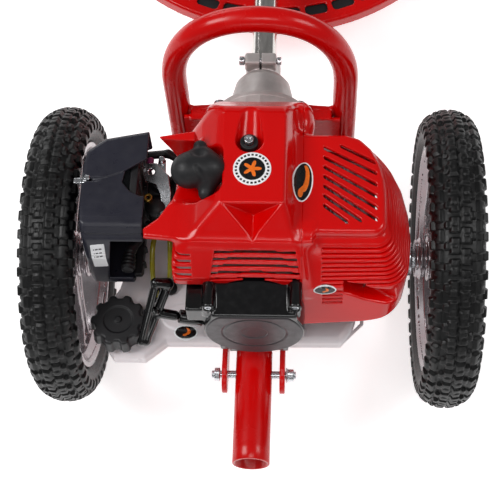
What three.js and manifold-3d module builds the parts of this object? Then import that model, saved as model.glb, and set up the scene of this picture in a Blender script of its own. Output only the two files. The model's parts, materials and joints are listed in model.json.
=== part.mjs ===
// Two-wheeled walk-behind rotary weeder with a small two-stroke engine.
// Units are millimetres and +Z is up. The drive shaft runs forward along +Y.
// The engine, axle and shaft are built in the boom's own frame, whose origin is the
// centre of the axle, and the boom is then tipped nose-down so that it stands on its
// wheels and on the tips of the rotor's tines.

import * as THREE from 'three';
import { mergeVertices } from 'three/addons/utils/BufferGeometryUtils.js';
import Module from 'manifold-3d';

const wasm = await Module();
wasm.setup();

// ---------------------------------------------------------------- driving dimensions
const GAP = 0.3; // clearance kept between touching pieces
const WHEEL_RADIUS = 150;
const TYRE_HALF_WIDTH = 27;
const TRACK = 378; // distance between the wheels' centre planes
const BOOM_TILT = THREE.MathUtils.degToRad(8);
const AXLE_RADIUS = 10;
const AXLE_HALF_LENGTH = 208;
const CRANK_X = 4; // sideways offset of the crank and the drive shaft
const CRANK_Z = 80; // height of the crank above the axle, square to the boom
const SHAFT_TUBE_RADIUS = 13;
const DRIVE_SHAFT_RADIUS = 4;
const HOOP_HALF_WIDTH = 83;
const HOOP_X = 3.5; // the hoop stands a little off centre, in line with the crank
const HOOP_TUBE_RADIUS = 12;
const HOOP_Y = 125;
const HOOP_LEG_TOP = 132;
const HOOP_TOP = 227;
const STEM_RADIUS = 18;
const STEM_WALL = 2.5;
const STEM_Z = -20;
const STEM_REAR = -212;
const STEM_FRONT = -97;
const STEM_BOLT_Y = -121;
const ROTOR_DISTANCE = 508; // from the axle to the rotor, along the ground
const GUARD_RADIUS = 236.5;
const GUARD_TOP = 134;
const GUARD_LIP = 16;
const GUARD_SHIFT = 8; // the guard reaches further out on the right
const GUARD_HALF_ANGLE = THREE.MathUtils.degToRad(100);
const GUARD_SHEET = 3;
const GUARD_WINDOWS = 24;
const WINDOW_INNER = 200;
const WINDOW_OUTER = 225;
const WINDOW_PITCH = 8; // degrees
const TINE_COUNT = 4;
const TINE_REACH = 150;

// ---------------------------------------------------------------- finishes
const finish = (color, roughness, metalness) =>
  new THREE.MeshStandardMaterial({ color, roughness, metalness });

const materials = {
  redPaint: finish(0xc81414, 0.35, 0.3),
  redPlastic: finish(0xd01210, 0.25, 0),
  blackPlastic: finish(0x0c0c0e, 0.3, 0),
  greyPlastic: finish(0x2f2e36, 0.45, 0),
  rubber: finish(0x111112, 0.75, 0),
  tyre: finish(0x151516, 0.8, 0),
  steel: finish(0xb9bcc0, 0.3, 1),
  aluminium: finish(0xa9abad, 0.5, 0.9),
  silverPaint: finish(0xc6c8cc, 0.35, 0.7),
  darkSteel: finish(0x3a3a3d, 0.5, 0.8),
  tank: finish(0xe9ebe6, 0.4, 0),
  brass: finish(0xc9a24a, 0.35, 1),
  hose: finish(0x8a8a2c, 0.4, 0),
  foam: finish(0x33363a, 0.95, 0),
};

// ---------------------------------------------------------------- solid helpers
function solid(geometry) {
  const bare = geometry.clone();
  bare.deleteAttribute('normal');
  bare.deleteAttribute('uv');
  const merged = mergeVertices(bare, 1e-3);
  const triangles = [];
  for (let i = 0; i < merged.index.count; i += 3) {
    const [a, b, c] = [0, 1, 2].map((k) => merged.index.getX(i + k));
    if (a !== b && b !== c && a !== c) triangles.push(a, b, c);
  }
  const body = new wasm.Mesh({
    numProp: 3,
    vertProperties: new Float32Array(merged.attributes.position.array),
    triVerts: new Uint32Array(triangles),
  });
  return new wasm.Manifold(body);
}

function geometryOf(manifold) {
  const mesh = manifold.getMesh();
  const geometry = new THREE.BufferGeometry();
  geometry.setAttribute('position', new THREE.BufferAttribute(mesh.vertProperties, 3));
  geometry.setIndex(new THREE.BufferAttribute(mesh.triVerts, 1));
  geometry.computeVertexNormals();
  return geometry;
}

const join = (...parts) => geometryOf(parts.map(solid).reduce((a, b) => a.add(b)));
const cut = (whole, ...tools) =>
  geometryOf(tools.map(solid).reduce((a, b) => a.subtract(b), solid(whole)));
const common = (a, b) => geometryOf(solid(a).intersect(solid(b)));

// A round bar along +Y, centred on the origin.
const barY = (radius, length, sides = 18) =>
  new THREE.CylinderGeometry(radius, radius, length, sides);
const barX = (radius, length, sides) => barY(radius, length, sides).rotateZ(Math.PI / 2);
const barZ = (radius, length, sides) => barY(radius, length, sides).rotateX(Math.PI / 2);

const boxAt = (low, high) =>
  new THREE.BoxGeometry(high[0] - low[0], high[1] - low[1], high[2] - low[2]).translate(
    (low[0] + high[0]) / 2,
    (low[1] + high[1]) / 2,
    (low[2] + high[2]) / 2,
  );

// A turned piece about +Y from [radius, y] points; the profile closes on itself and is
// ordered anticlockwise, so that the faces point outwards.
function turned(profile, sides = 20) {
  const points = profile.map(([r, y]) => new THREE.Vector2(r, y));
  if (THREE.ShapeUtils.isClockWise(points)) points.reverse();
  if (points.every((p) => p.x > 0)) points.push(points[0].clone());
  return new THREE.LatheGeometry(points, sides);
}

const outline = (points) => new THREE.Shape(points.map(([x, y]) => new THREE.Vector2(x, y)));
const slab = (shape, depth, curveSegments = 12) =>
  new THREE.ExtrudeGeometry(shape, { depth, bevelEnabled: false, curveSegments });

// A shape in Y and Z, extruded from x0 to x1.
function sideSlabOf(shape, x0, x1) {
  const turn = new THREE.Matrix4().makeBasis(
    new THREE.Vector3(0, 1, 0),
    new THREE.Vector3(0, 0, 1),
    new THREE.Vector3(1, 0, 0),
  );
  return slab(shape, x1 - x0).applyMatrix4(turn).translate(x0, 0, 0);
}

const sideSlab = (points, x0, x1) => sideSlabOf(outline(points), x0, x1);

// An outline in X and Z, extruded from y0 to y1.
function frontSlab(points, y0, y1) {
  return slab(outline(points), y1 - y0).rotateX(Math.PI / 2).translate(0, y1, 0);
}

function circle(radius) {
  const shape = new THREE.Shape();
  shape.absarc(0, 0, radius, 0, 2 * Math.PI, false);
  return shape;
}

// A round tube or rod that follows a curve.
function sweep(curve, radius, steps, sides = 12) {
  return new THREE.ExtrudeGeometry(circle(radius), {
    extrudePath: curve,
    steps,
    bevelEnabled: false,
    curveSegments: sides / 2,
  });
}

const smoothCurve = (points, tension = 0.5) =>
  new THREE.CatmullRomCurve3(
    points.map((p) => new THREE.Vector3(...p)),
    false,
    'catmullrom',
    tension,
  );

function add(group, name, geometry, material) {
  const mesh = new THREE.Mesh(geometry, material);
  mesh.name = name;
  group.add(mesh);
  return mesh;
}

// ---------------------------------------------------------------- wheels and axle
function wheel(group, side) {
  const tag = side < 0 ? 'left' : 'right';
  const place = (geometry) => geometry.rotateZ((side * Math.PI) / 2).translate((side * TRACK) / 2, 0, 0);
  const half = TYRE_HALF_WIDTH;
  const outside = [
    [109.5, 13.5],
    [109.5, 16.3],
    [116, 17.5],
    [124, half - 1],
    [138, half],
    [WHEEL_RADIUS, 15],
  ];
  const inside = [
    [143, 11],
    [130, 21],
    [113, 13.5],
  ];
  const flip = (points) => points.map(([r, y]) => [r, -y]).reverse();
  const tyre = turned([...outside, ...flip(outside), ...flip(inside), ...inside], 32);
  add(group, `tyre_${tag}`, place(tyre), materials.tyre);

  const rimHalf = [
    [105, 9],
    [108, 17],
    [115, 18.6],
    [115, 21],
    [110, 21],
    [101, 12],
  ];
  const ring = turned([...rimHalf, ...flip(rimHalf)], 24);
  const hub = barY(23, 52).translate(0, 4, 0);
  const spokes = [];
  for (let i = 0; i < 5; i += 1) {
    const spoke = boxAt([15, -3, -13], [102.5, 3, 13]).rotateY((i * 2 * Math.PI) / 5 + Math.PI / 10);
    spokes.push(spoke);
  }
  const rim = cut(join(ring, hub, ...spokes), barY(16, 80, 24));
  add(group, `rim_${tag}`, place(rim), materials.silverPaint);

  const bearing = turned([
    [AXLE_RADIUS + GAP, 28],
    [16 - GAP, 28],
    [16 - GAP, 16],
    [AXLE_RADIUS + GAP, 16],
  ]);
  add(group, `wheel_bearing_${tag}`, place(bearing), materials.steel);

  const nut = cut(
    new THREE.CylinderGeometry(14, 14, 12, 6),
    barY(AXLE_RADIUS - 2 + GAP, 40, 24),
  ).rotateZ(Math.PI / 2);
  add(group, `axle_nut_${tag}`, nut.translate(side * (AXLE_HALF_LENGTH + 6.5), 0, 0), materials.steel);
}

function axle(group) {
  const bar = join(
    barX(AXLE_RADIUS, 2 * AXLE_HALF_LENGTH),
    barX(AXLE_RADIUS - 2, 2 * AXLE_HALF_LENGTH + 26),
  );
  add(group, 'axle_bar', bar, materials.steel);
}

// ---------------------------------------------------------------- frame
function hoop(group) {
  const x = HOOP_HALF_WIDTH;
  const foot = -4;
  const bend = 30;
  const path = new THREE.CurvePath();
  const line = (a, b) => path.add(new THREE.LineCurve3(new THREE.Vector3(...a), new THREE.Vector3(...b)));
  const quarter = (a, b, c) =>
    path.add(
      new THREE.QuadraticBezierCurve3(
        new THREE.Vector3(...a),
        new THREE.Vector3(...b),
        new THREE.Vector3(...c),
      ),
    );
  const arch = (side) => {
    const shoulder = [side * x, HOOP_Y, HOOP_LEG_TOP];
    const control = (HOOP_TOP - HOOP_LEG_TOP) * 0.6;
    return [shoulder, [side * x, HOOP_Y, HOOP_LEG_TOP + control], [side * x * 0.62, HOOP_Y, HOOP_TOP]];
  };
  const vector = (p) => new THREE.Vector3(...p);
  const top = [0, HOOP_Y, HOOP_TOP];
  const [leftShoulder, leftA, leftB] = arch(-1);
  const [rightShoulder, rightA, rightB] = arch(1);
  line([-x, 16, foot], [-x, HOOP_Y - bend, foot]);
  quarter([-x, HOOP_Y - bend, foot], [-x, HOOP_Y, foot], [-x, HOOP_Y, foot + bend]);
  line([-x, HOOP_Y, foot + bend], leftShoulder);
  path.add(new THREE.CubicBezierCurve3(vector(leftShoulder), vector(leftA), vector(leftB), vector(top)));
  path.add(new THREE.CubicBezierCurve3(vector(top), vector(rightB), vector(rightA), vector(rightShoulder)));
  line(rightShoulder, [x, HOOP_Y, foot + bend]);
  quarter([x, HOOP_Y, foot + bend], [x, HOOP_Y, foot], [x, HOOP_Y - bend, foot]);
  line([x, HOOP_Y - bend, foot], [x, 16, foot]);
  add(group, 'frame_hoop', sweep(path, HOOP_TUBE_RADIUS, 48).translate(HOOP_X, 0, 0), materials.redPaint);
}

// The welded base: a box-section spine under the engine, a sleeve for the axle and
// two ears that hold the handle stem.
function frame(group) {
  const low = -36;
  const high = -11;
  const spine = cut(
    boxAt([-26, -88, low], [26, 118, high]),
    boxAt([-23, -120, low + 3], [23, 140, high - 3]),
  );
  const sleeve = barX(AXLE_RADIUS + 2.5, 200);
  const ears = [-1, 1].map((side) => {
    const plate = new THREE.Shape();
    plate.moveTo(-30, low);
    plate.lineTo(-30, high);
    plate.lineTo(STEM_BOLT_Y, high + 8);
    plate.absarc(STEM_BOLT_Y - 6, STEM_Z + 1, 12, Math.PI / 2, 1.5 * Math.PI, false);
    plate.lineTo(STEM_BOLT_Y, low);
    const x = side > 0 ? 25.5 : -31;
    return sideSlabOf(plate, x, x + 5.5);
  });
  const base = cut(
    join(spine, sleeve, ...ears),
    barX(AXLE_RADIUS + GAP, 300),
    barX(4 + GAP, 100, 16).translate(0, STEM_BOLT_Y, STEM_Z),
  );
  add(group, 'frame_base', base, materials.redPaint);

  const bolt = join(
    barX(4, 78, 16),
    new THREE.CylinderGeometry(7, 7, 6, 6).rotateZ(Math.PI / 2).translate(-36, 0, 0),
    new THREE.CylinderGeometry(6.5, 6.5, 7, 6).rotateZ(Math.PI / 2).translate(37, 0, 0),
  ).translate(0, STEM_BOLT_Y, STEM_Z);
  add(group, 'stem_bolt', bolt, materials.steel);

  const plate = frontSlab(
    [
      [HOOP_X - 70.5, -14],
      [HOOP_X + 70.5, -14],
      [HOOP_X + 70.5, 88],
      [46, 92],
      [-38, 92],
      [HOOP_X - 70.5, 88],
    ],
    119,
    123,
  );
  const notch = join(
    barY(36, 20, 32).translate(CRANK_X, 121, CRANK_Z),
    boxAt([CRANK_X - 36, 111, CRANK_Z], [CRANK_X + 36, 131, 100]),
  );
  add(group, 'engine_plate', cut(plate, notch), materials.redPaint);
}

function stem(group) {
  const tube = turned([
    [STEM_RADIUS - STEM_WALL, STEM_REAR],
    [STEM_RADIUS, STEM_REAR],
    [STEM_RADIUS, STEM_FRONT],
    [STEM_RADIUS - STEM_WALL, STEM_FRONT],
  ]).translate(0, 0, STEM_Z);
  const hole = barX(4 + GAP, 60, 16).translate(0, STEM_BOLT_Y, STEM_Z);
  add(group, 'handle_stem', cut(tube, hole), materials.redPaint);
}

// ---------------------------------------------------------------- engine core
const onCrank = (geometry) => geometry.translate(CRANK_X, 0, CRANK_Z);

function engineCore(group) {
  const caseBlock = join(
    boxAt([CRANK_X - 44, -60, 42], [CRANK_X + 44, 60, 112]),
    boxAt([CRANK_X - 34, -78, 50], [CRANK_X + 34, -59, 110]),
  );
  const crankcase = cut(
    caseBlock,
    onCrank(barY(31, 72, 32).translate(0, 14, 0)),
    onCrank(barY(9, 200, 20)),
    barZ(21.5, 40, 24).translate(CRANK_X, 14, 110),
  );
  add(group, 'crankcase', crankcase, materials.aluminium);

  const fins = [barZ(27, 55).translate(0, 0, 27.8)];
  for (let i = 0; i < 4; i += 1) fins.push(barZ(36, 4).translate(0, 0, 12 + i * 13));
  const barrel = cut(join(...fins), barZ(21, 88, 20).translate(0, 0, 5));
  add(group, 'cylinder_barrel', barrel.translate(CRANK_X, 14, 112 + GAP), materials.aluminium);

  const piston = turned([
    [0, 150],
    [20.6, 150],
    [20.6, 122],
    [17, 122],
    [17, 144],
    [0, 144],
  ], 28).rotateX(Math.PI / 2);
  add(group, 'piston', piston.translate(CRANK_X, 14, 0), materials.aluminium);

  const crank = join(
    barY(8, 176, 20).translate(0, 8, 0),
    barY(28, 12, 32).translate(0, -2, 0),
    barY(28, 12, 32).translate(0, 30, 0),
    barY(9, 22, 20).translate(-14, 14, 0),
  );
  add(group, 'crankshaft', onCrank(crank), materials.steel);

  const blades = [turned([[8.3, 66], [40, 66], [40, 72], [20, 72], [20, 84], [8.3, 84]])];
  for (let i = 0; i < 12; i += 1) {
    blades.push(boxAt([26, 70, -1.5], [39, 84, 1.5]).rotateY((i * Math.PI) / 6));
  }
  add(group, 'flywheel', onCrank(join(...blades)), materials.aluminium);

  const shoes = turned([[8.3, 87], [24, 87], [24, 95.5], [8.3, 95.5]]);
  add(group, 'clutch_shoes', onCrank(shoes), materials.darkSteel);

  const fanHousing = turned([
    [43, 62],
    [46, 62],
    [46, 112],
    [34, 112],
    [34, 109],
    [43, 109],
  ]);
  add(group, 'fan_housing', onCrank(fanHousing), materials.blackPlastic);

  const drum = turned([
    [4.3, 118],
    [30, 118],
    [30, 88],
    [27.5, 88],
    [27.5, 115],
    [4.3, 115],
  ]);
  add(group, 'clutch_drum', onCrank(drum), materials.darkSteel);

  const bell = turned([
    [31, 112 + GAP],
    [45, 112 + GAP],
    [45, 117],
    [33, 118.6],
    [29, 123],
    [27.5, 140],
    [24.5, 150],
    [19, 158],
    [16.5, 163],
    [16.5, 176],
    [SHAFT_TUBE_RADIUS + GAP, 176],
    [SHAFT_TUBE_RADIUS + GAP, 156],
    [20, 148],
    [24, 138],
    [25.5, 122],
    [31, 119],
  ]);
  add(group, 'clutch_housing', onCrank(bell), materials.aluminium);

  const clampBolt = join(
    new THREE.CylinderGeometry(4.5, 4.5, 6, 16).rotateZ(Math.PI / 2),
    barX(2.5, 22, 12).translate(10, 0, 0),
  ).translate(CRANK_X - 20, 170, CRANK_Z + 20);
  add(group, 'shaft_clamp_bolt', clampBolt, materials.steel);
}

// ---------------------------------------------------------------- recoil starter
const PULL_START = new THREE.Vector3(CRANK_X - 9.5, -102, CRANK_Z - 26.3);
const PULL = new THREE.Vector3(-0.94, 0, 0.341).normalize();
const GRIP_ALONG = new THREE.Vector3(-0.36, -0.64, -0.68);
const GRIP_DISTANCE = 86.5;

function alongPull(geometry, distance) {
  const turn = new THREE.Quaternion().setFromUnitVectors(new THREE.Vector3(0, 1, 0), PULL);
  const at = PULL_START.clone().addScaledVector(PULL, distance);
  return geometry.applyQuaternion(turn).translate(at.x, at.y, at.z);
}

function starter(group) {
  const shell = onCrank(
    turned([
      [0, -119],
      [42, -119],
      [45, -116],
      [46, -79],
      [43, -79],
      [42.5, -115],
      [0, -115],
    ]),
  );
  const lugs = [];
  for (const angle of [0.5, 2.64, -0.6]) {
    const lug = barY(6, 30, 12).translate(47, -94, 0).rotateY(-angle);
    lugs.push(onCrank(lug));
  }
  const guideHole = alongPull(barY(3.2, 30, 12), 36);
  const hollow = onCrank(barY(42.4, 34, 32).translate(0, -97, 0));
  add(group, 'starter_housing', cut(join(shell, ...lugs), guideHole, hollow), materials.blackPlastic);

  const pulley = turned([
    [6, -108],
    [25.5, -108],
    [25.5, -106],
    [23, -102],
    [25.5, -98],
    [25.5, -96],
    [6, -96],
  ]);
  add(group, 'rope_pulley', onCrank(pulley), materials.greyPlastic);

  const guide = turned([[2.4, -11], [6.5, -11], [6.5, 11], [2.4, 11]], 16);
  add(group, 'rope_guide', alongPull(guide, 54), materials.blackPlastic);
  add(group, 'starter_rope', alongPull(barY(1.8, 76, 8), 41), materials.rubber);

  const turn = new THREE.Quaternion().setFromUnitVectors(
    new THREE.Vector3(0, 1, 0),
    GRIP_ALONG.clone().normalize(),
  );
  const profile = [
    [0, -33],
    [5, -33],
    [7.5, -30],
    [7, -10],
    [7, 10],
    [7.5, 30],
    [5, 33],
    [0, 33],
  ];
  const bar = turned(profile, 16);
  const at = PULL_START.clone().addScaledVector(PULL, GRIP_DISTANCE);
  add(group, 'starter_grip', bar.applyQuaternion(turn).translate(at.x, at.y, at.z), materials.blackPlastic);
}

// ---------------------------------------------------------------- covers and exhaust
function hood(side, front, wall) {
  const xs = front.map(([x]) => x);
  const ys = side.map(([y]) => y);
  const whole = (grow) => {
    const x0 = Math.min(...xs);
    const x1 = Math.max(...xs);
    const y0 = Math.min(...ys);
    const y1 = Math.max(...ys);
    return common(sideSlab(side, x0 - grow, x1 + grow), frontSlab(front, y0 - grow, y1 + grow));
  };
  const outer = whole(1);
  const inner = outer.clone();
  inner.computeBoundingBox();
  const size = inner.boundingBox.getSize(new THREE.Vector3());
  const middle = inner.boundingBox.getCenter(new THREE.Vector3());
  const top = inner.boundingBox.max.z;
  inner.translate(-middle.x, -middle.y, -top);
  inner.scale((size.x - 2 * wall) / size.x, (size.y - 2 * wall) / size.y, 1);
  inner.translate(middle.x, middle.y, top - wall);
  return cut(outer, inner);
}

function covers(group) {
  const whole = hood(
    [
      [96, 116],
      [96, 134],
      [57, 184],
      [40, 190],
      [-43, 190],
      [-70, 158],
      [-93, 126],
      [-93, 116],
    ],
    [
      [-66, 116],
      [-66, 142],
      [-48, 170],
      [-26, 190],
      [32, 190],
      [45, 172],
      [52, 150],
      [52, 116],
    ],
    3,
  );
  const bootPocket = boxAt([-72, -28, 160], [-22, 15, 200]);
  const fanGap = onCrank(barY(47, 80, 24).translate(0, 90, 0));
  const starterGap = onCrank(barY(47, 60, 24).translate(0, -100, 0));
  add(group, 'top_cover', cut(whole, bootPocket, fanGap, starterGap), materials.redPlastic);

  const slots = [];
  for (let i = 0; i < 8; i += 1) {
    slots.push(boxAt([-24, -1.6, 130], [24, 1.6, 200]).rotateZ(-0.32).translate(96, 30 - i * 9, 0));
  }
  const muffCover = cut(
    hood(
      [
        [68, 64],
        [68, 122],
        [47, 160],
        [34, 165],
        [-40, 165],
        [-76, 148],
        [-100, 118],
        [-100, 64],
      ],
      [
        [54, 64],
        [54, 158],
        [68, 165],
        [108, 160],
        [134, 140],
        [147, 112],
        [147, 64],
      ],
      3,
    ),
    ...slots,
  );
  add(group, 'muffler_cover', muffCover, materials.redPlastic);

  const muffler = cut(
    join(boxAt([60, -46, 82], [128, 52, 138]), barY(9, 30, 16).translate(110, -55, 96)),
    boxAt([62, -44, 84], [126, 50, 136]),
    barY(7, 60, 16).translate(110, -62, 96),
  );
  add(group, 'muffler', muffler, materials.darkSteel);
}

// ---------------------------------------------------------------- intake
function intake(group) {
  const coverSide = [
    [-56, 52],
    [-62, 60],
    [-62, 118],
    [-50, 138],
    [-20, 150],
    [44, 150],
    [66, 128],
    [68, 72],
    [50, 54],
  ];
  const cover = cut(
    sideSlab(coverSide, -156, -113),
    sideSlab(coverSide, -156, -110).scale(1, 0.94, 0.94).translate(3, 0.2, 6.1),
    barX(4.3, 30, 16).translate(-152, 8, 104),
  );
  add(group, 'air_filter_cover', cover, materials.greyPlastic);
  const base = cut(
    sideSlab(coverSide, -112.7, -105),
    barX(11, 30, 20).translate(-108, 14, 92),
  );
  add(group, 'air_filter_base', base, materials.blackPlastic);
  const element = cut(
    boxAt([-140, -40, 66], [-113.2, 44, 132]),
    barX(16, 40, 20).translate(-120, 14, 92),
  );
  add(group, 'air_filter_element', element, materials.foam);

  const knob = join(
    barX(8, 4, 12).translate(-158.4, 8, 104),
    barX(3.6, 10, 12).translate(-152, 8, 104),
  );
  add(group, 'cover_knob', knob, materials.brass);

  const carburettor = cut(
    join(
      boxAt([-102, -6, 78], [-76, 34, 106]),
      barX(12, 28, 20).translate(-90, 14, 92),
      barZ(9, 14, 16).translate(-88, 22, 106),
    ),
    barX(8, 60, 20).translate(-90, 14, 92),
  );
  add(group, 'carburettor', carburettor, materials.aluminium);
  const insulator = cut(
    boxAt([-75.7, -8, 74], [-41, 36, 110]),
    barX(8, 60, 20).translate(-58, 14, 92),
  );
  add(group, 'intake_insulator', insulator, materials.blackPlastic);

  const throttle = join(
    barZ(6, 3, 16).translate(0, 0, 1.5),
    boxAt([-4, 0, 0], [4, 22, 3]),
    barZ(3, 6, 12).translate(0, 20, 3),
  );
  add(group, 'throttle_lever', throttle.translate(-88, 22, 113 + GAP), materials.steel);
  const choke = join(
    barX(5, 3, 16),
    boxAt([-1.5, -26, -3], [1.5, 0, 3]),
    barX(4, 8, 12).translate(1, -24, 0),
  );
  add(group, 'choke_lever', choke.translate(-100, -14, 88), materials.blackPlastic);

  const plug = join(
    new THREE.CylinderGeometry(9, 9, 8, 6).rotateX(Math.PI / 2).translate(0, 0, 3),
    barZ(5, 10, 16).translate(0, 0, 8),
  );
  add(group, 'spark_plug', plug.translate(CRANK_X - 18, 6, 171), materials.steel);
}

function plugBoot(group) {
  const body = turned([[0, 21], [12, 21], [16, 16], [17, 0], [16, -16], [11, -21], [0, -21]], 24)
    .rotateZ(Math.PI / 2)
    .translate(-46, -6, 0);
  add(group, 'plug_boot', body.translate(0, 0, 184), materials.rubber);
}

// ---------------------------------------------------------------- fuel
function fuel(group) {
  const ring = [
    [-132, -52],
    [-146, -76],
    [-146, -106],
    [-132, -126],
    [-102, -126],
    [-80, -108],
    [88, -106],
    [106, -90],
    [106, 40],
    [-112, 40],
  ];
  const low = 13;
  const high = 33;
  const inset = slab(outline(ring), high - low - 4)
    .translate(0, 40, 0)
    .scale(0.96, 0.95, 1)
    .translate(-0.8, -42, low + 2);
  const tank = cut(
    join(
      slab(outline(ring), high - low).translate(0, 0, low),
      barZ(20, 8, 24).translate(-127, -97, high + 1),
    ),
    inset,
    barZ(15, 20, 24).translate(-127, -97, high),
  );
  add(group, 'fuel_tank', tank, materials.tank);

  const lobes = new THREE.Shape();
  const count = 48;
  for (let i = 0; i < count; i += 1) {
    const angle = (i * 2 * Math.PI) / count;
    const r = 25.5 + 1.5 * Math.cos(10 * angle);
    if (i === 0) lobes.moveTo(r, 0);
    else lobes.lineTo(r * Math.cos(angle), r * Math.sin(angle));
  }
  const cap = cut(slab(lobes, 19).translate(0, 0, 37), barZ(20.5, 20, 24).translate(0, 0, 34));
  add(group, 'fuel_cap', cap.translate(-127, -97, 0), materials.blackPlastic);

  const hose = (x, y, dx) =>
    sweep(
      smoothCurve([
        [x, y, 81],
        [x + dx, y - 16, 78],
        [x + dx, y - 36, 62],
        [x, y - 44, 44],
        [x, y - 44, high + GAP],
      ]),
      2.5,
      16,
      8,
    );
  add(group, 'fuel_hose', hose(-82, -10, 2), materials.hose);
  add(group, 'return_hose', hose(-94, -18, -2), materials.hose);
}

// ---------------------------------------------------------------- drive shaft
function shaft(group, length) {
  const tube = turned([
    [11, 160],
    [SHAFT_TUBE_RADIUS, 160],
    [SHAFT_TUBE_RADIUS, length - 32],
    [11, length - 32],
  ]);
  add(group, 'shaft_tube', onCrank(tube), materials.steel);
  const inner = barY(DRIVE_SHAFT_RADIUS, length - 24 - 119, 16).translate(0, (119 + length - 24) / 2, 0);
  add(group, 'drive_shaft', onCrank(inner), materials.darkSteel);
}

// ---------------------------------------------------------------- tool
// Built about the rotor's upright axis, with z = 0 on the ground.
function tool(group, axisHeight) {
  const onShaft = (geometry) => geometry.rotateX(-BOOM_TILT).translate(0, 0, axisHeight);
  const dome = turned([
    [0, axisHeight + 31],
    [16, axisHeight + 29],
    [27, axisHeight + 20],
    [30, axisHeight + 4],
    [30, 132],
    [0, 132],
  ]).rotateX(Math.PI / 2);
  const chamber = turned([
    [0, axisHeight + 22],
    [24, axisHeight + 16],
    [24, 120],
    [0, 120],
  ]).rotateX(Math.PI / 2);
  const housing = cut(
    join(dome, onShaft(barY(19, 66).translate(0, -33, 0))),
    chamber,
    onShaft(barY(SHAFT_TUBE_RADIUS + GAP, 60).translate(0, -62, 0)),
    onShaft(barY(7, 60, 20).translate(0, -30, 0)),
  );
  add(group, 'gear_head', housing, materials.aluminium);

  const pinion = turned([[4.3, -24], [11, -24], [8, -13], [4.3, -13]], 24);
  add(group, 'bevel_pinion', onShaft(pinion.translate(0, 4, 0)), materials.steel);

  const rotorShaft = join(
    barZ(8, 80, 20).translate(0, 0, 100),
    turned([[0, 146], [11, 146], [20, 138], [20, 134], [0, 134]]).rotateX(Math.PI / 2),
  );
  add(group, 'rotor_shaft', rotorShaft, materials.steel);

  const hub = turned([[8.3, 58], [26, 58], [26, 88], [20, 92], [8.3, 92]]).rotateX(Math.PI / 2);
  add(group, 'rotor_hub', hub, materials.darkSteel);

  const claw = new THREE.Shape();
  claw.moveTo(26 + GAP, 66);
  claw.lineTo(26 + GAP, 84);
  claw.lineTo(96, 84);
  claw.bezierCurveTo(128, 84, TINE_REACH, 62, TINE_REACH - 4, 0);
  claw.bezierCurveTo(130, 44, 118, 64, 92, 66);
  for (let i = 0; i < TINE_COUNT; i += 1) {
    const tine = slab(claw, 9, 8)
      .translate(0, 0, -4.5)
      .rotateX(Math.PI / 2)
      .rotateZ((i + 0.5) * ((2 * Math.PI) / TINE_COUNT));
    add(group, `tine_${i + 1}`, tine, materials.darkSteel);
  }
}

function sector(inner, outer, halfAngle) {
  const rear = -Math.PI / 2;
  const shape = new THREE.Shape();
  shape.absarc(0, 0, outer, rear - halfAngle, rear + halfAngle, false);
  shape.absarc(0, 0, inner, rear + halfAngle, rear - halfAngle, true);
  return shape;
}

function guard(group, axisHeight) {
  const fan = sector(44, GUARD_RADIUS, GUARD_HALF_ANGLE);
  const pitch = THREE.MathUtils.degToRad(WINDOW_PITCH);
  for (let i = -GUARD_WINDOWS / 2; i < GUARD_WINDOWS / 2; i += 1) {
    const from = -Math.PI / 2 + i * pitch + 0.022;
    const to = from + pitch - 0.044;
    const hole = new THREE.Path();
    hole.moveTo(WINDOW_OUTER * Math.cos(from), WINDOW_OUTER * Math.sin(from));
    hole.lineTo(WINDOW_OUTER * Math.cos(to), WINDOW_OUTER * Math.sin(to));
    hole.lineTo(WINDOW_INNER * Math.cos(to), WINDOW_INNER * Math.sin(to));
    hole.lineTo(WINDOW_INNER * Math.cos(from), WINDOW_INNER * Math.sin(from));
    hole.closePath();
    fan.holes.push(hole);
  }
  const rim = sector(GUARD_RADIUS - GUARD_SHEET, GUARD_RADIUS, GUARD_HALF_ANGLE);
  const lip = slab(rim, GUARD_LIP, 16).translate(0, 0, GUARD_TOP - GUARD_LIP);
  const panel = join(slab(fan, GUARD_SHEET, 16).translate(0, 0, GUARD_TOP - GUARD_SHEET), lip);
  const boltHoles = [-1, 1].map((side) =>
    barZ(3, 40, 12).translate(side * 14 - GUARD_SHIFT, -80, GUARD_TOP),
  );
  add(group, 'tool_guard', cut(panel, ...boltHoles).translate(GUARD_SHIFT, 0, 0), materials.redPaint);

  const lining = slab(sector(190, GUARD_RADIUS - 3.5, GUARD_HALF_ANGLE - 0.03), 3, 16);
  add(group, 'guard_skirt', lining.translate(GUARD_SHIFT, 0, GUARD_TOP - 6.4), materials.rubber);

  const tubeHeight = axisHeight + 84 * Math.tan(BOOM_TILT);
  const bracket = cut(
    join(
      barY(19, 30).rotateX(-BOOM_TILT).translate(0, -84, tubeHeight),
      boxAt([-24, -99, GUARD_TOP + GAP], [24, -69, GUARD_TOP + 5]),
      boxAt([-8, -97, GUARD_TOP + 3], [8, -71, tubeHeight]),
    ),
    barY(SHAFT_TUBE_RADIUS + GAP, 80).rotateX(-BOOM_TILT).translate(0, -84, tubeHeight),
  );
  add(group, 'guard_bracket', bracket, materials.redPaint);
}

// ---------------------------------------------------------------- assembly
const machine = new THREE.Group();

const boom = new THREE.Group();
boom.position.set(0, 0, WHEEL_RADIUS);
boom.rotation.x = -BOOM_TILT;
machine.add(boom);

const shaftRise = (CRANK_Z - ROTOR_DISTANCE * Math.sin(BOOM_TILT)) / Math.cos(BOOM_TILT);
const shaftLength = ROTOR_DISTANCE * Math.cos(BOOM_TILT) - shaftRise * Math.sin(BOOM_TILT);

wheel(boom, -1);
wheel(boom, 1);
axle(boom);
hoop(boom);
frame(boom);
stem(boom);
engineCore(boom);
starter(boom);
covers(boom);
intake(boom);
plugBoot(boom);
fuel(boom);
shaft(boom, shaftLength);

const head = new THREE.Group();
head.position.set(CRANK_X, ROTOR_DISTANCE, 0);
machine.add(head);
tool(head, WHEEL_RADIUS + shaftRise);
guard(head, WHEEL_RADIUS + shaftRise);

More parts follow.
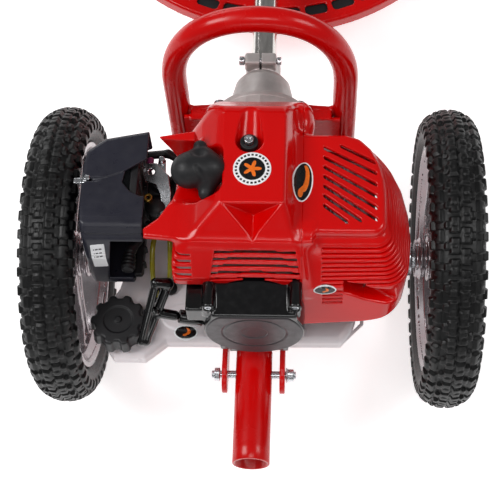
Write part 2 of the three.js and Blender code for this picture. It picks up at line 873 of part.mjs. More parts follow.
// The origin is on the ground under the middle of the machine's box.
machine.updateMatrixWorld(true);
const middle = new THREE.Box3().setFromObject(machine, true).getCenter(new THREE.Vector3());
machine.position.set(-middle.x, -middle.y, 0);
machine.updateMatrixWorld(true);

export default machine;
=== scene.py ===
"""Looks for the two-wheeled rotary tiller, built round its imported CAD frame.

Shapes are given in the boom's own frame, in millimetres: X to the right, Y forward along the
drive shaft, Z square to it, with the origin at the centre of the axle. BOOM turns that
into the row frame in metres, and TOOL does the same for pieces drawn about the rotor, with
the origin on the ground. Moulded and cast pieces are written as distance fields, which
are negative inside, and `carve` turns a field into a closed mesh.
"""

import json
import math

import bpy
import numpy as np
from mathutils import Matrix, Vector

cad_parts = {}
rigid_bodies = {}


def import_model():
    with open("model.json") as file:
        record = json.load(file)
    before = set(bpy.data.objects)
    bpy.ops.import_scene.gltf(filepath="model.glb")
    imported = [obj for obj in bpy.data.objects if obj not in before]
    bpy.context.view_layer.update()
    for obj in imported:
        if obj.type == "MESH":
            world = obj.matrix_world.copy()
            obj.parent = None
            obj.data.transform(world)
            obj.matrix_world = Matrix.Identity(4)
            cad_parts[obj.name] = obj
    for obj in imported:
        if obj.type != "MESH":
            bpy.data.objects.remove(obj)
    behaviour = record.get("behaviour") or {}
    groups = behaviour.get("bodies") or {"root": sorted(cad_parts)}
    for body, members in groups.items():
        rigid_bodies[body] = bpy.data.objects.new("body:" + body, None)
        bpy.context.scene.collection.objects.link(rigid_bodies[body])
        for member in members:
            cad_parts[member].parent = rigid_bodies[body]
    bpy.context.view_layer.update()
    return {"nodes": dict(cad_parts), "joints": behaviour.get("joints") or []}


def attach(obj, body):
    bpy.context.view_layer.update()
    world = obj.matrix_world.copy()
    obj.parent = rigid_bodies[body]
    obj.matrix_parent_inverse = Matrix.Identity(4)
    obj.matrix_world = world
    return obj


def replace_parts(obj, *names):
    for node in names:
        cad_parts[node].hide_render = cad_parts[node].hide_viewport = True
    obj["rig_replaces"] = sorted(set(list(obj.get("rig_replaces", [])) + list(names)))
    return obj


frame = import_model()

# ---------------------------------------------------------------- frames of reference
MM = 0.001
JOINTS = {joint["name"]: joint for joint in frame["joints"]}


def joint_point(name):
    return Vector(JOINTS[name]["pos_m"])


AXLE = (joint_point("wheel_left_spin") + joint_point("wheel_right_spin")) / 2
SHAFT_WAY = Vector(JOINTS["crank_spin"]["axis"])
TILT = math.atan2(-SHAFT_WAY.z, SHAFT_WAY.y)
ROTOR = joint_point("rotor_spin")
TRACK = (joint_point("wheel_right_spin") - joint_point("wheel_left_spin")).x / MM
BOOM = Matrix.Translation(AXLE) @ Matrix.Rotation(-TILT, 4, "X") @ Matrix.Scale(MM, 4)
TOOL = Matrix.Translation(Vector((ROTOR.x, ROTOR.y, 0))) @ Matrix.Scale(MM, 4)
CRANK_X, CRANK_Z = 4.0, 80.0
GUARD_SHIFT = 8.0


# ---------------------------------------------------------------- distance fields
def length(*parts):
    return np.sqrt(sum(part * part for part in parts))


def both(*fields, soft=0.0):
    """Where every field is inside, with edges rounded over about `soft` mm."""
    whole = fields[0]
    for other in fields[1:]:
        sharp = np.maximum(whole, other)
        if soft:
            near = np.maximum(soft - np.abs(whole - other), 0)
            sharp = sharp + near * near / (4 * soft)
        whole = sharp
    return whole


def either(*fields, soft=0.0):
    return -both(*[-field for field in fields], soft=soft)


def without(whole, *cuts, soft=0.0):
    return both(whole, *[-part for part in cuts], soft=soft)


def between(value, low, high):
    return np.abs(value - (low + high) / 2) - (high - low) / 2


def box(p, low, high, round_by=0.0):
    sides = [between(p[i], low[i] + round_by, high[i] - round_by) for i in range(3)]
    outside = length(*[np.maximum(side, 0) for side in sides])
    inside = np.minimum(np.maximum(np.maximum(sides[0], sides[1]), sides[2]), 0)
    return outside + inside - round_by


def prism(flat, along, low, high, round_by=0.0):
    """A flat outline's distance carried along one axis, with its rims rounded."""
    a = flat + round_by
    b = between(along, low + round_by, high - round_by)
    inside = np.minimum(np.maximum(a, b), 0)
    return length(np.maximum(a, 0), np.maximum(b, 0)) + inside - round_by


def outline(u, v, points):
    """Signed distance to a closed outline of (u, v) points."""
    shape = np.broadcast(u, v, *[c for point in points for c in point][:20]).shape
    nearest = np.full(shape, 1e12)
    inside = np.zeros(shape, bool)
    for (au, av), (bu, bv) in zip(points, points[1:] + points[:1]):
        eu, ev = bu - au, bv - av
        wu, wv = u - au, v - av
        t = np.clip((wu * eu + wv * ev) / (eu * eu + ev * ev), 0, 1)
        nearest = np.minimum(nearest, (wu - eu * t) ** 2 + (wv - ev * t) ** 2)
        run = np.where(ev == 0, 1e-9, ev)
        inside ^= ((av > v) != (bv > v)) & (u < eu * (v - av) / run + au)
    return np.where(inside, -1, 1) * np.sqrt(nearest)


def rod(p, start, end, radius, end_radius=None):
    """A round-ended rod, which may taper."""
    along = [b - a for a, b in zip(start, end)]
    from_start = [p[i] - start[i] for i in range(3)]
    size = sum(part * part for part in along)
    t = np.clip(sum(a * b for a, b in zip(from_start, along)) / size, 0, 1)
    thick = radius + ((radius if end_radius is None else end_radius) - radius) * t
    return length(*[from_start[i] - along[i] * t for i in range(3)]) - thick


def drum(p, centre, axis, radius, half, round_by=0.0):
    """A flat-ended cylinder along one of the three axes."""
    away = [p[i] - centre[i] for i in range(3)]
    side = length(*[away[i] for i in range(3) if i != axis]) - radius
    return prism(side, away[axis], -half, half, round_by)


def ball(p, centre, radii):
    scaled = length(*[(p[i] - centre[i]) / radii[i] for i in range(3)])
    return (scaled - 1) * min(radii)


def ramp(value, low, high):
    t = np.clip((value - low) / (high - low), 0, 1)
    return t * t * (3 - 2 * t)


# ---------------------------------------------------------------- meshes
CORNERS = [(i, j, k) for i in (0, 1) for j in (0, 1) for k in (0, 1)]
EDGES = [
    (a, b)
    for a in range(8)
    for b in range(a + 1, 8)
    if sum(abs(CORNERS[a][i] - CORNERS[b][i]) for i in range(3)) == 1
]


def surface_net(values, low, cell):
    """Points and quads of the zero surface of a grid of distances."""
    counts = np.array(values.shape) - 1
    part = [values[tuple(slice(o, o + n) for o, n in zip(c, counts))] for c in CORNERS]
    inside = sum((corner < 0).astype(np.int8) for corner in part)
    active = (inside > 0) & (inside < 8)
    number = np.full(active.shape, -1, np.int64)
    number[active] = np.arange(active.sum())
    at_corner = [corner[active].astype(float) for corner in part]
    total = np.zeros((int(active.sum()), 3))
    hits = np.zeros(len(total))
    for a, b in EDGES:
        crossed = (at_corner[a] < 0) != (at_corner[b] < 0)
        gap = np.where(crossed, at_corner[a] - at_corner[b], 1)
        t = at_corner[a] / gap
        step = np.array(CORNERS[b], float) - np.array(CORNERS[a], float)
        place = np.array(CORNERS[a], float) + t[:, None] * step
        total += np.where(crossed[:, None], place, 0)
        hits += crossed
    points = np.array(low) + cell * (np.argwhere(active) + total / hits[:, None])
    quads = []
    for axis in range(3):
        u, v = (axis + 1) % 3, (axis + 2) % 3
        this = [slice(1, n) for n in counts]
        this[axis] = slice(0, counts[axis])
        following = list(this)
        following[axis] = slice(1, counts[axis] + 1)
        first, second = values[tuple(this)] < 0, values[tuple(following)] < 0
        change = np.argwhere(first != second)
        outward = first[first != second]
        change[:, u] += 1
        change[:, v] += 1
        ring = []
        for du, dv in ((0, 0), (-1, 0), (-1, -1), (0, -1)):
            where = change.copy()
            where[:, u] += du
            where[:, v] += dv
            ring.append(number[tuple(where.T)])
        ring = np.stack(ring, 1)
        ring[~outward] = ring[~outward, ::-1]
        quads.append(ring)
    return points, np.concatenate(quads)


SETTLE_ROUNDS = 3
SLOPE_NUDGE = 0.05
LEAST_SLOPE = 0.2
LONGEST_MOVE = 0.35
GRID_MARGIN = 1.5


def settle(points, field, cell):
    """Moves grid points on to the field's own zero surface."""
    for _ in range(SETTLE_ROUNDS):
        here = field([points[:, i] for i in range(3)])
        slope = np.zeros_like(points)
        for i in range(3):
            moved = points.copy()
            moved[:, i] += SLOPE_NUDGE
            slope[:, i] = (field([moved[:, k] for k in range(3)]) - here) / SLOPE_NUDGE
        size = np.maximum((slope**2).sum(1), LEAST_SLOPE)
        step = slope * (here / size)[:, None]
        reach = np.linalg.norm(step, axis=1)
        step *= np.minimum(1, LONGEST_MOVE * cell / np.maximum(reach, 1e-9))[:, None]
        points = points - step
    return points


def put(name, mesh):
    piece = bpy.data.objects.new(name, mesh)
    bpy.context.scene.collection.objects.link(piece)
    return piece


def new_mesh(name, points, faces, place, smooth=True):
    mesh = bpy.data.meshes.new(name)
    mesh.from_pydata([place @ Vector(point) for point in points], [], faces)
    mesh.validate()
    mesh.polygons.foreach_set("use_smooth", [smooth] * len(mesh.polygons))
    mesh.update()
    return put(name, mesh)


def carve(name, field, low, high, cell=1.0, place=BOOM):
    """The mesh of a distance field; it is closed where the box holds the whole shape."""
    low = [a - GRID_MARGIN * cell for a in low]
    counts = [int((b + GRID_MARGIN * cell - a) / cell) + 2 for a, b in zip(low, high)]
    axes = [a + cell * np.arange(n) for a, n in zip(low, counts)]
    grid = np.meshgrid(*axes, indexing="ij", sparse=True)
    values = np.broadcast_to(field(grid), counts)
    points, quads = surface_net(values, low, cell)
    points = settle(points, field, cell)
    mesh = bpy.data.meshes.new(name)
    matrix = np.array(place)
    row = points @ matrix[:3, :3].T + matrix[:3, 3]
    mesh.vertices.add(len(row))
    mesh.vertices.foreach_set("co", row.astype(np.float32).ravel())
    mesh.loops.add(quads.size)
    mesh.loops.foreach_set("vertex_index", quads.astype(np.int32).ravel())
    mesh.polygons.add(len(quads))
    mesh.polygons.foreach_set("loop_start", np.arange(0, quads.size, 4, dtype=np.int32))
    mesh.polygons.foreach_set("use_smooth", np.ones(len(quads), bool))
    mesh.update(calc_edges=True)
    mesh.validate()
    return put(name, mesh)


def lathe(name, profile, place, sides=64):
    """A turned piece about Y from [radius, y] points; a profile off the axis is a ring."""
    rings = len(profile)
    points, faces = [], []
    for radius, y in profile:
        for i in range(sides):
            turn = 2 * math.pi * i / sides
            points.append((radius * math.cos(turn), y, radius * math.sin(turn)))
    for a in range(rings):
        b = (a + 1) % rings
        for i in range(sides):
            j = (i + 1) % sides
            faces.append((a * sides + i, a * sides + j, b * sides + j, b * sides + i))
    return new_mesh(name, points, faces, place)


def sweep(name, path, radius, place=BOOM, sides=24, inner=0.0):
    """A round tube along a list of points, with flat ends; `inner` makes it hollow."""
    path = [Vector(point) for point in path]
    count = len(path)
    points, faces = [], []
    normal = None
    for i, at in enumerate(path):
        way = (path[min(i + 1, count - 1)] - path[max(i - 1, 0)]).normalized()
        if normal is None:
            normal = way.orthogonal().normalized()
        normal = (normal - way * normal.dot(way)).normalized()
        side = way.cross(normal)
        for k in range(sides):
            turn = 2 * math.pi * k / sides
            away = normal * math.cos(turn) + side * math.sin(turn)
            points.append(at + away * radius)
    rings = list(range(count))
    if inner:
        outer = list(points)
        for i in reversed(range(count)):
            for k in range(sides):
                edge = outer[i * sides + k]
                points.append(path[i] + (edge - path[i]) * inner / radius)
        rings = list(range(2 * count))
    for a in range(len(rings) - (0 if inner else 1)):
        b = (a + 1) % len(rings)
        for k in range(sides):
            m = (k + 1) % sides
            faces.append((a * sides + k, a * sides + m, b * sides + m, b * sides + k))
    if not inner:
        faces.append(tuple(reversed(range(sides))))
        faces.append(tuple((count - 1) * sides + k for k in range(sides)))
    return new_mesh(name, points, faces, place)


def curve_points(points, steps=8):
    """A smooth curve through given points."""
    points = [Vector(point) for point in points]
    ends = [2 * points[0] - points[1], *points, 2 * points[-1] - points[-2]]
    line = []
    for i in range(1, len(ends) - 2):
        a, b, c, d = ends[i - 1 : i + 3]
        for k in range(steps):
            t = k / steps
            line.append(
                0.5
                * (
                    2 * b
                    + (c - a) * t
                    + (2 * a - 5 * b + 4 * c - d) * t * t
                    + (3 * b - a - 3 * c + d) * t**3
                )
            )
    return [*line, points[-1]]


def soften(piece, width, segments=3, angle=30):
    """Rounds the hard edges of a piece with a bevel."""
    bevel = piece.modifiers.new("edges", "BEVEL")
    bevel.width = width * MM
    bevel.segments = segments
    bevel.limit_method = "ANGLE"
    bevel.angle_limit = math.radians(angle)
    bevel.harden_normals = False
    for polygon in piece.data.polygons:
        polygon.use_smooth = True
    weighted = piece.modifiers.new("normals", "WEIGHTED_NORMAL")
    weighted.keep_sharp = True
    return piece


# ---------------------------------------------------------------- finishes
def linear(r, g, b):
    """A colour named by its 0-255 display values."""
    return tuple((c / 255) ** 2.2 for c in (r, g, b)) + (1.0,)


class Nodes:
    """A small helper that writes one material's node tree."""

    def __init__(self, name):
        self.material = bpy.data.materials.new(name)
        self.material.use_nodes = True
        self.tree = self.material.node_tree
        self.shader = self.tree.nodes["Principled BSDF"]
        self.coordinates = self.tree.nodes.new("ShaderNodeTexCoord").outputs["Object"]

    def node(self, kind, **values):
        made = self.tree.nodes.new(kind)
        for key, value in values.items():
            setattr(made, key, value)
        return made

    def link(self, out, into):
        self.tree.links.new(out, into)

    def noise(self, scale, detail=3.0, stretch=(1, 1, 1), roughness=0.55):
        mapping = self.node("ShaderNodeMapping")
        mapping.inputs["Scale"].default_value = stretch
        self.link(self.coordinates, mapping.inputs["Vector"])
        noise = self.node("ShaderNodeTexNoise")
        noise.inputs["Scale"].default_value = scale
        noise.inputs["Detail"].default_value = detail
        noise.inputs["Roughness"].default_value = roughness
        self.link(mapping.outputs["Vector"], noise.inputs["Vector"])
        return noise.outputs["Fac"]

    def spread(self, value, low, high, to_low, to_high):
        made = self.node("ShaderNodeMapRange")
        for key, number in zip(
            ("From Min", "From Max", "To Min", "To Max"), (low, high, to_low, to_high)
        ):
            made.inputs[key].default_value = number
        self.link(value, made.inputs["Value"])
        return made.outputs["Result"]

    def blend(self, factor, first, second):
        made = self.node("ShaderNodeMix", data_type="RGBA")
        self.link(factor, made.inputs["Factor"])
        for socket, colour in zip((made.inputs[6], made.inputs[7]), (first, second)):
            if isinstance(colour, tuple):
                socket.default_value = colour
            else:
                self.link(colour, socket)
        return made.outputs[2]

    def bump(self, height, strength, distance=0.3 * MM, before=None):
        made = self.node("ShaderNodeBump")
        made.inputs["Strength"].default_value = strength
        made.inputs["Distance"].default_value = distance
        self.link(height, made.inputs["Height"])
        if before is not None:
            self.link(before, made.inputs["Normal"])
        return made.outputs["Normal"]


def finish(
    name,
    colour,
    rough,
    metal=0.0,
    coat=0.0,
    shine=0.5,
    tone=0.12,
    patch=60.0,
    grain=900.0,
    depth=0.05,
    rough_spread=0.08,
    edge=None,
    stretch=(1, 1, 1),
    soft=0.0,
):
    """A surface with uneven tone, uneven gloss, fine grain and, with `edge`, worn rims."""
    nodes = Nodes(name)
    shader = nodes.shader
    shader.inputs["Metallic"].default_value = metal
    shader.inputs["Coat Weight"].default_value = coat
    shader.inputs["Specular IOR Level"].default_value = shine
    shader.inputs["Coat Roughness"].default_value = 0.08
    shader.inputs["Subsurface Weight"].default_value = soft
    shader.inputs["Subsurface Radius"].default_value = (0.012, 0.01, 0.009)
    dark = tuple(c * (1 - tone) for c in colour[:3]) + (1.0,)
    light = tuple(min(1, c * (1 + tone)) for c in colour[:3]) + (1.0,)
    patches = nodes.noise(patch, 4, stretch)
    tint = nodes.blend(nodes.spread(patches, 0.3, 0.7, 0, 1), dark, light)
    if edge:
        geometry = nodes.node("ShaderNodeNewGeometry")
        rims = nodes.spread(geometry.outputs["Pointiness"], 0.53, 0.62, 0, 0.55)
        tint = nodes.blend(rims, tint, edge)
    nodes.link(tint, shader.inputs["Base Color"])
    uneven = nodes.noise(patch * 3.7, 5, stretch)
    gloss = nodes.spread(uneven, 0.3, 0.7, max(rough - rough_spread, 0.03), rough + rough_spread)
    nodes.link(gloss, shader.inputs["Roughness"])
    fine = nodes.bump(nodes.noise(grain, 2, stretch), depth)
    nodes.link(fine, shader.inputs["Normal"])
    return nodes.material


# Each finish: its colour, its roughness and whatever differs from an even plastic.
LOOKS = {
    "red_plastic": (
        (202, 2, 2),
        0.2,
        dict(coat=0.04, shine=0.36, tone=0.06, patch=9, grain=260, depth=0.02, rough_spread=0.04),
    ),
    "red_paint": ((196, 1, 3), 0.24, dict(coat=0.05, shine=0.3, tone=0.05, patch=10, grain=420, depth=0.02)),
    "black_plastic": ((10, 9, 12), 0.18, dict(coat=0.15, patch=45, depth=0.05)),
    "matte_black": ((22, 21, 24), 0.5, dict(patch=70, grain=1500, depth=0.15)),
    "dark_grey_plastic": ((50, 44, 48), 0.42, dict(patch=40, grain=1400, depth=0.12)),
    "grey_plastic": ((40, 40, 49), 0.34, dict(shine=0.4, patch=30, grain=1200, depth=0.08)),
    "rubber": ((28, 28, 30), 0.5, dict(shine=0.4, patch=80, grain=700, depth=0.15)),
    "tyre": ((10, 10, 11), 0.44, dict(shine=0.35, tone=0.25, patch=110, grain=600, depth=0.3)),
    "steel": ((196, 198, 202), 0.26, dict(metal=1.0, patch=140, grain=900, depth=0.08)),
    "chrome_tube": ((214, 210, 206), 0.14, dict(metal=1.0, tone=0.16, patch=50, stretch=(6, 0.6, 6))),
    "aluminium": ((186, 180, 178), 0.5, dict(metal=0.7, patch=60, grain=500, depth=0.35)),
    "silver_paint": ((158, 152, 155), 0.22, dict(metal=0.9, tone=0.07, patch=14, grain=500, depth=0.02)),
    "dark_steel": (
        (74, 72, 74),
        0.45,
        dict(metal=0.85, tone=0.3, patch=70, grain=300, depth=0.35, edge=linear(170, 168, 166)),
    ),
    "tank_plastic": ((226, 217, 220), 0.34, dict(tone=0.05, patch=20, grain=600, depth=0.08, soft=0.25)),
    "brass": ((206, 160, 80), 0.3, dict(metal=1.0, patch=150)),
    "hose": ((150, 140, 34), 0.3, dict(coat=0.3, tone=0.3, patch=60)),
    "foam": ((52, 54, 58), 0.95, dict(tone=0.4, patch=500, grain=1400, depth=0.9)),
    "white_label": ((236, 236, 238), 0.35, dict(tone=0.03, patch=60)),
    "black_label": ((16, 16, 18), 0.3, dict(tone=0.1, patch=60)),
    "orange_label": ((236, 112, 28), 0.35, dict(tone=0.15, patch=300)),
    "purple_plastic": ((132, 52, 96), 0.35, dict(patch=120)),
}
FINISHES = {
    name: finish(name, linear(*colour), rough, **rest) for name, (colour, rough, rest) in LOOKS.items()
}


def dress(piece, finish_name, body="chassis", stands_for=()):
    """Gives a piece its finish, its body and the CAD nodes that it stands for."""
    piece.data.materials.clear()
    piece.data.materials.append(FINISHES[finish_name])
    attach(piece, body)
    if stands_for:
        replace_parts(piece, *stands_for)
    return piece


def build(name, field, low, high, cell, look, *nodes, body="chassis", place=BOOM):
    """Carves a piece from its field and dresses it."""
    return dress(carve(name, field, low, high, cell, place), look, body, nodes)


# ---------------------------------------------------------------- camera and studio
CAMERA_PLACE = Vector((56.7, -590.8, 1159.4))
CAMERA_TURN = (math.radians(63) - 0.005, 0.049, 0.012)  # elevation, yaw and roll
CAMERA_LENS = 92.3


def studio():
    scene = bpy.context.scene
    scene.view_settings.view_transform = "Standard"
    elevation, yaw, roll = CAMERA_TURN
    ahead = Vector((0, math.cos(elevation), -math.sin(elevation)))
    upward = Vector((0, math.sin(elevation), math.cos(elevation)))
    right = Vector((1, 0, 0))
    look = ahead * math.cos(yaw) - right * math.sin(yaw)
    side = right * math.cos(yaw) + ahead * math.sin(yaw)
    across = side * math.cos(roll) + upward * math.sin(roll)
    up = upward * math.cos(roll) - side * math.sin(roll)
    turn = Matrix((across, up, -look)).transposed()
    data = bpy.data.cameras.new("camera")
    data.lens = CAMERA_LENS
    data.sensor_width = 36
    data.clip_end = 50
    camera = bpy.data.objects.new("camera", data)
    camera.matrix_world = (
        Matrix.Translation(BOOM @ CAMERA_PLACE) @ (Matrix.Rotation(-TILT, 3, "X") @ turn).to_4x4()
    )
    scene.collection.objects.link(camera)
    scene.camera = camera

    world = bpy.data.worlds.new("studio")
    world.use_nodes = True
    world.node_tree.nodes["Background"].inputs["Color"].default_value = (1, 1, 1, 1)
    world.node_tree.nodes["Background"].inputs["Strength"].default_value = 0.2
    scene.world = world

    def softbox(name, at, aim, size, power):
        light = bpy.data.lights.new(name, "AREA")
        light.shape = "RECTANGLE"
        light.size, light.size_y = size
        light.energy = power
        lamp = bpy.data.objects.new(name, light)
        lamp.location = at
        lamp.rotation_mode = "QUATERNION"
        lamp.rotation_quaternion = (Vector(aim) - Vector(at)).to_track_quat("-Z", "Y")
        scene.collection.objects.link(lamp)

    middle = (0, -0.1, 0.2)
    softbox("key_light", (-1.4, -0.2, 1.9), middle, (0.9, 0.9), 26)
    softbox("fill_light", (1.6, 0.0, 1.8), middle, (0.8, 0.8), 14)
    softbox("camera_light", (0.1, -1.0, 2.5), middle, (1.0, 0.5), 8)
    softbox("rear_strip", (0.2, -2.2, 1.0), middle, (1.8, 0.16), 4)
    softbox("front_strip", (-0.9, 1.8, 0.9), middle, (1.2, 0.3), 6)

    floor = bpy.data.meshes.new("floor")
    half, step = 3.0, 24
    points = [
        (half * (2 * i / step - 1), half * (2 * k / step - 1), -0.0005)
        for i in range(step + 1)
        for k in range(step + 1)
    ]
    faces = []
    for i in range(step):
        for k in range(step):
            a = i * (step + 1) + k
            faces.append((a, a + step + 1, a + step + 2, a + 1))
    floor.from_pydata(points, [], faces)
    ground = bpy.data.objects.new("floor", floor)
    scene.collection.objects.link(ground)
    white = finish("studio_floor", (0.93, 0.93, 0.93, 1), 0.8, tone=0.01, patch=3, depth=0.01)
    glow = white.node_tree.nodes["Principled BSDF"].inputs
    glow["Emission Color"].default_value = (1, 1, 1, 1)
    glow["Emission Strength"].default_value = 0.6
    floor.materials.append(white)


studio()


# ---------------------------------------------------------------- wheels
TREAD_ROWS = 48
TREAD_DEPTH = 3.6
ROW_STEPS = 20


def tread_height(u, s):
    """Height of the blocks; u counts rows round the tyre and s is the way across, in mm."""
    across = np.abs(s)
    shift = np.where(s > 0, 0.5, 0.0)

    def block(offset, low, high, start, end):
        t = np.mod(u + shift + offset, 1)
        inner = np.clip((across - low) / 0.9, 0, 1) * np.clip((high - across) / 0.9, 0, 1)
        return inner * np.clip((t - start) / 0.05, 0, 1) * np.clip((end - t) / 0.05, 0, 1)

    centre = block(0, 0.5, 8.5, 0.1, 0.9)
    arm = block(0, 8.0, 13.0, 0.3, 0.7)
    dimple = 0.3 * block(0, 2.6, 6.4, 0.4, 0.6)
    middle = block(0.5, 14.0, 22.5, 0.15, 0.85)
    notch = 0.5 * block(0.5, 19.0, 22.5, 0.4, 0.6)
    lug = block(0.05, 24.5, 35.5, 0.2, 0.75) * np.clip((47 - across) / 20, 0, 1)
    rib = 0.18 * np.clip(1 - np.abs(across - 41) / 0.9, 0, 1)
    highest = centre
    for part in (arm, middle, lug, rib):
        highest = np.maximum(highest, part)
    return TREAD_DEPTH * (highest - dimple - notch)


def wheel_place(side):
    centre = Matrix.Translation((side * TRACK / 2, 0, 0))
    return BOOM @ centre @ Matrix.Rotation(side * math.pi / 2, 4, "Z")


def tyre(side, tag):
    tube_radius, half_width, half_height = 128.0, 25.0, 18.2
    bend = math.radians(133)
    across_count = 84
    angle = np.linspace(-bend, bend, across_count)
    s = angle * 22
    count = TREAD_ROWS * ROW_STEPS
    u = np.arange(count) / ROW_STEPS
    height = tread_height(u[:, None], s[None, :])
    radius = tube_radius + (half_height + height) * np.cos(angle)
    sideways = (half_width + 0.75 * height) * np.sin(angle)
    bead = [(111.0, 17.6), (109.6, 15.4), (112.5, 13.4), (128.0, 19.0), (141.0, 12.0)]
    inner = [*bead, *[(r, -x) for r, x in reversed(bead)]]
    radius = np.hstack([radius, np.tile([r for r, _ in inner], (count, 1))])
    sideways = np.hstack([sideways, np.tile([x for _, x in inner], (count, 1))])
    turn = 2 * math.pi * np.arange(count)[:, None] / count
    points = np.stack([radius * np.cos(turn), sideways, radius * np.sin(turn)], 2)
    ring = points.shape[1]
    faces = []
    for i in range(count):
        k = (i + 1) % count
        for a in range(ring):
            b = (a + 1) % ring
            faces.append((i * ring + a, i * ring + b, k * ring + b, k * ring + a))
    place = wheel_place(side)
    piece = new_mesh(f"treaded_tyre_{tag}", points.reshape(-1, 3), faces, place)
    dress(piece, "tyre", f"wheel_{tag}", [f"tyre_{tag}"])


def rim_field(p):
    x, y, z = p
    r = length(x, z)
    half = [(104, 8), (108, 17), (115, 18.6), (115, 20.6), (110, 20.6), (101, 12)]
    ring = outline(r, y, [*half, *[(a, -b) for a, b in reversed(half)]])
    pitch = 2 * math.pi / 5
    turn = np.mod(np.arctan2(z, x) - math.pi / 2 + pitch / 2, pitch) - pitch / 2
    out, off = r * np.cos(turn), np.abs(r * np.sin(turn))
    width = 14 - 3.0 * ramp(out, 20, 60) + 5 * ramp(out, 80, 104)
    dish = 3.0 * ramp(out, 30, 95)
    web = both(off - width, np.abs(y - dish) - 1.8)
    ribs = both(np.abs(off - width + 2.2) - 2.4, np.abs(y - dish) - 5.5)
    spokes = both(either(web, ribs, soft=2), between(r, 18, 106), -out)
    hub = both(r - 19, between(y, -22, 30))
    collars = either(
        both(r - 23, between(y, -9, 9)),
        both(r - 22.5, between(y, 14, 18)),
        both(r - 21, between(y, 22.5, 26)),
    )
    whole = either(either(hub, collars, soft=1.5), spokes, ring, soft=3)
    return both(whole, 16 - r, soft=0.6)


def wheels():
    for side, tag in ((-1, "left"), (1, "right")):
        tyre(side, tag)
        place = wheel_place(side)
        build(
            f"spoked_rim_{tag}", rim_field, (-116, -23, -116), (116, 31, 116), 1.25,
            "silver_paint", f"rim_{tag}", body=f"wheel_{tag}", place=place
        )
        profile = [(10.3, 28), (10.8, 28.4), (15.2, 28.4), (15.7, 28), (15.7, 16), (10.3, 16)]
        bearing = lathe(f"ball_bearing_{tag}", profile, place, 48)
        dress(bearing, "steel", f"wheel_{tag}", [f"wheel_bearing_{tag}"])


wheels()


# ---------------------------------------------------------------- frame
HOOP_X, HOOP_Y = 3.5, 125.0
HOOP_HALF = 83.0
HOOP_TOP = 227.0
HOOP_SHOULDER = 132.0
HOOP_TUBE = 11.85
HOOP_BEND = 30
PIN_Y, PIN_Z = -121, -20


def arc(centre, radius, start, end, steps=10):
    turns = [math.radians(start + (end - start) * i / steps) for i in range(steps + 1)]
    return [(centre[0] + radius * math.cos(t), centre[1] + radius * math.sin(t)) for t in turns]


def bezier(a, b, c, d, steps=20):
    points = []
    for i in range(steps + 1):
        t = i / steps
        weights = ((1 - t) ** 3, 3 * t * (1 - t) ** 2, 3 * t * t * (1 - t), t**3)
        points.append(tuple(sum(w * q[k] for w, q in zip(weights, (a, b, c, d))) for k in range(2)))
    return points


def hoop():
    control = (HOOP_TOP - HOOP_SHOULDER) * 0.6
    arch = bezier(
        (HOOP_HALF, HOOP_SHOULDER),
        (HOOP_HALF, HOOP_SHOULDER + control),
        (HOOP_HALF * 0.62, HOOP_TOP),
        (0, HOOP_TOP),
    )
    leg_y = [(HOOP_Y - 109 + 79 * i / 6, -4.0) for i in range(6)]
    bend = arc((HOOP_Y - HOOP_BEND, 26), HOOP_BEND, -90, 0)
    leg = [(HOOP_HALF, y, z) for y, z in [*leg_y, *bend]]
    rise = [(HOOP_HALF, HOOP_Y, 26 + (HOOP_SHOULDER - 26) * i / 8) for i in range(1, 8)]
    right = [*leg, *rise, *[(x, HOOP_Y, z) for x, z in arch]]
    left = [(-x, y, z) for x, y, z in reversed(right[:-1])]
    path = [(HOOP_X + x, y, z) for x, y, z in [*right, *left]]
    dress(sweep("bent_hoop", path, HOOP_TUBE, sides=96), "red_paint", "chassis", ["frame_hoop"])


def plate_field(p):
    x, y, z = p
    off = x - HOOP_X
    panel = [(-70.5, -14), (70.5, -14), (70.5, 88), (43, 94), (-43, 94), (-70.5, 88)]
    sheet = prism(outline(off, z, panel), y, 119, 123, 1)
    apron = prism(outline(off, z, [(-84, -14), (84, -14), (83, 86), (-83, 90)]), y, 108.5, 112.6, 1)
    webs = both(np.abs(np.abs(off) - 68) - 1.5, between(z, -14, 86), between(y, 110, 121))
    sheet = either(sheet, apron, webs)
    notch = either(length(x - CRANK_X, z - CRANK_Z) - 36, both(np.abs(x - CRANK_X) - 36, CRANK_Z - z))
    lips = both(np.abs(np.abs(off) - 56) - 14, between(z, 86, 90), between(y, 107, 123), soft=1)
    whole = either(without(sheet, notch, soft=1), lips, soft=2)
    for side in (-1, 1):
        for height in (4, 46, 84):
            weld = ball(p, (HOOP_X + side * 71, 121, height), (3.2, 3.4, 9))
            whole = either(whole, weld, soft=2)
    return whole


def base_field(p):
    """The box spine, the axle sleeve and the two ears that hold the stem."""
    x, y, z = p
    spine = box(p, (-26, -88, -36), (26, 118, -11), 2)
    hollow = box(p, (-23, -130, -33), (23, 130, -14), 1)
    sleeve = both(length(y, z) - 12.5, np.abs(x) - 100, soft=1)
    ear = outline(
        y,
        z,
        [(-30, -36), (-30, -11), (-121, -3), *arc((-127, -19), 13, 90, 270), (-121, -36)],
    )
    slots = rod([0 * y, y, z], (0, -96, -14), (0, -62, -13.5), 2.6)
    ears = both(without(ear, slots, soft=0.5), np.abs(np.abs(x) - 28.2) - 2.6, soft=0.8)
    fillets = either(
        rod(p, (-26, 0, -12), (-26, 40, -12), 2.5),
        rod(p, (26, 0, -12), (26, 40, -12), 2.5),
    )
    whole = either(without(spine, hollow), sleeve, ears, fillets, soft=2.5)
    axle_bore = length(y, z) - 10.3
    pin_bore = length(y - PIN_Y, z - PIN_Z) - 4.3
    return without(whole, axle_bore, both(pin_bore, -y - 100), soft=0.3)


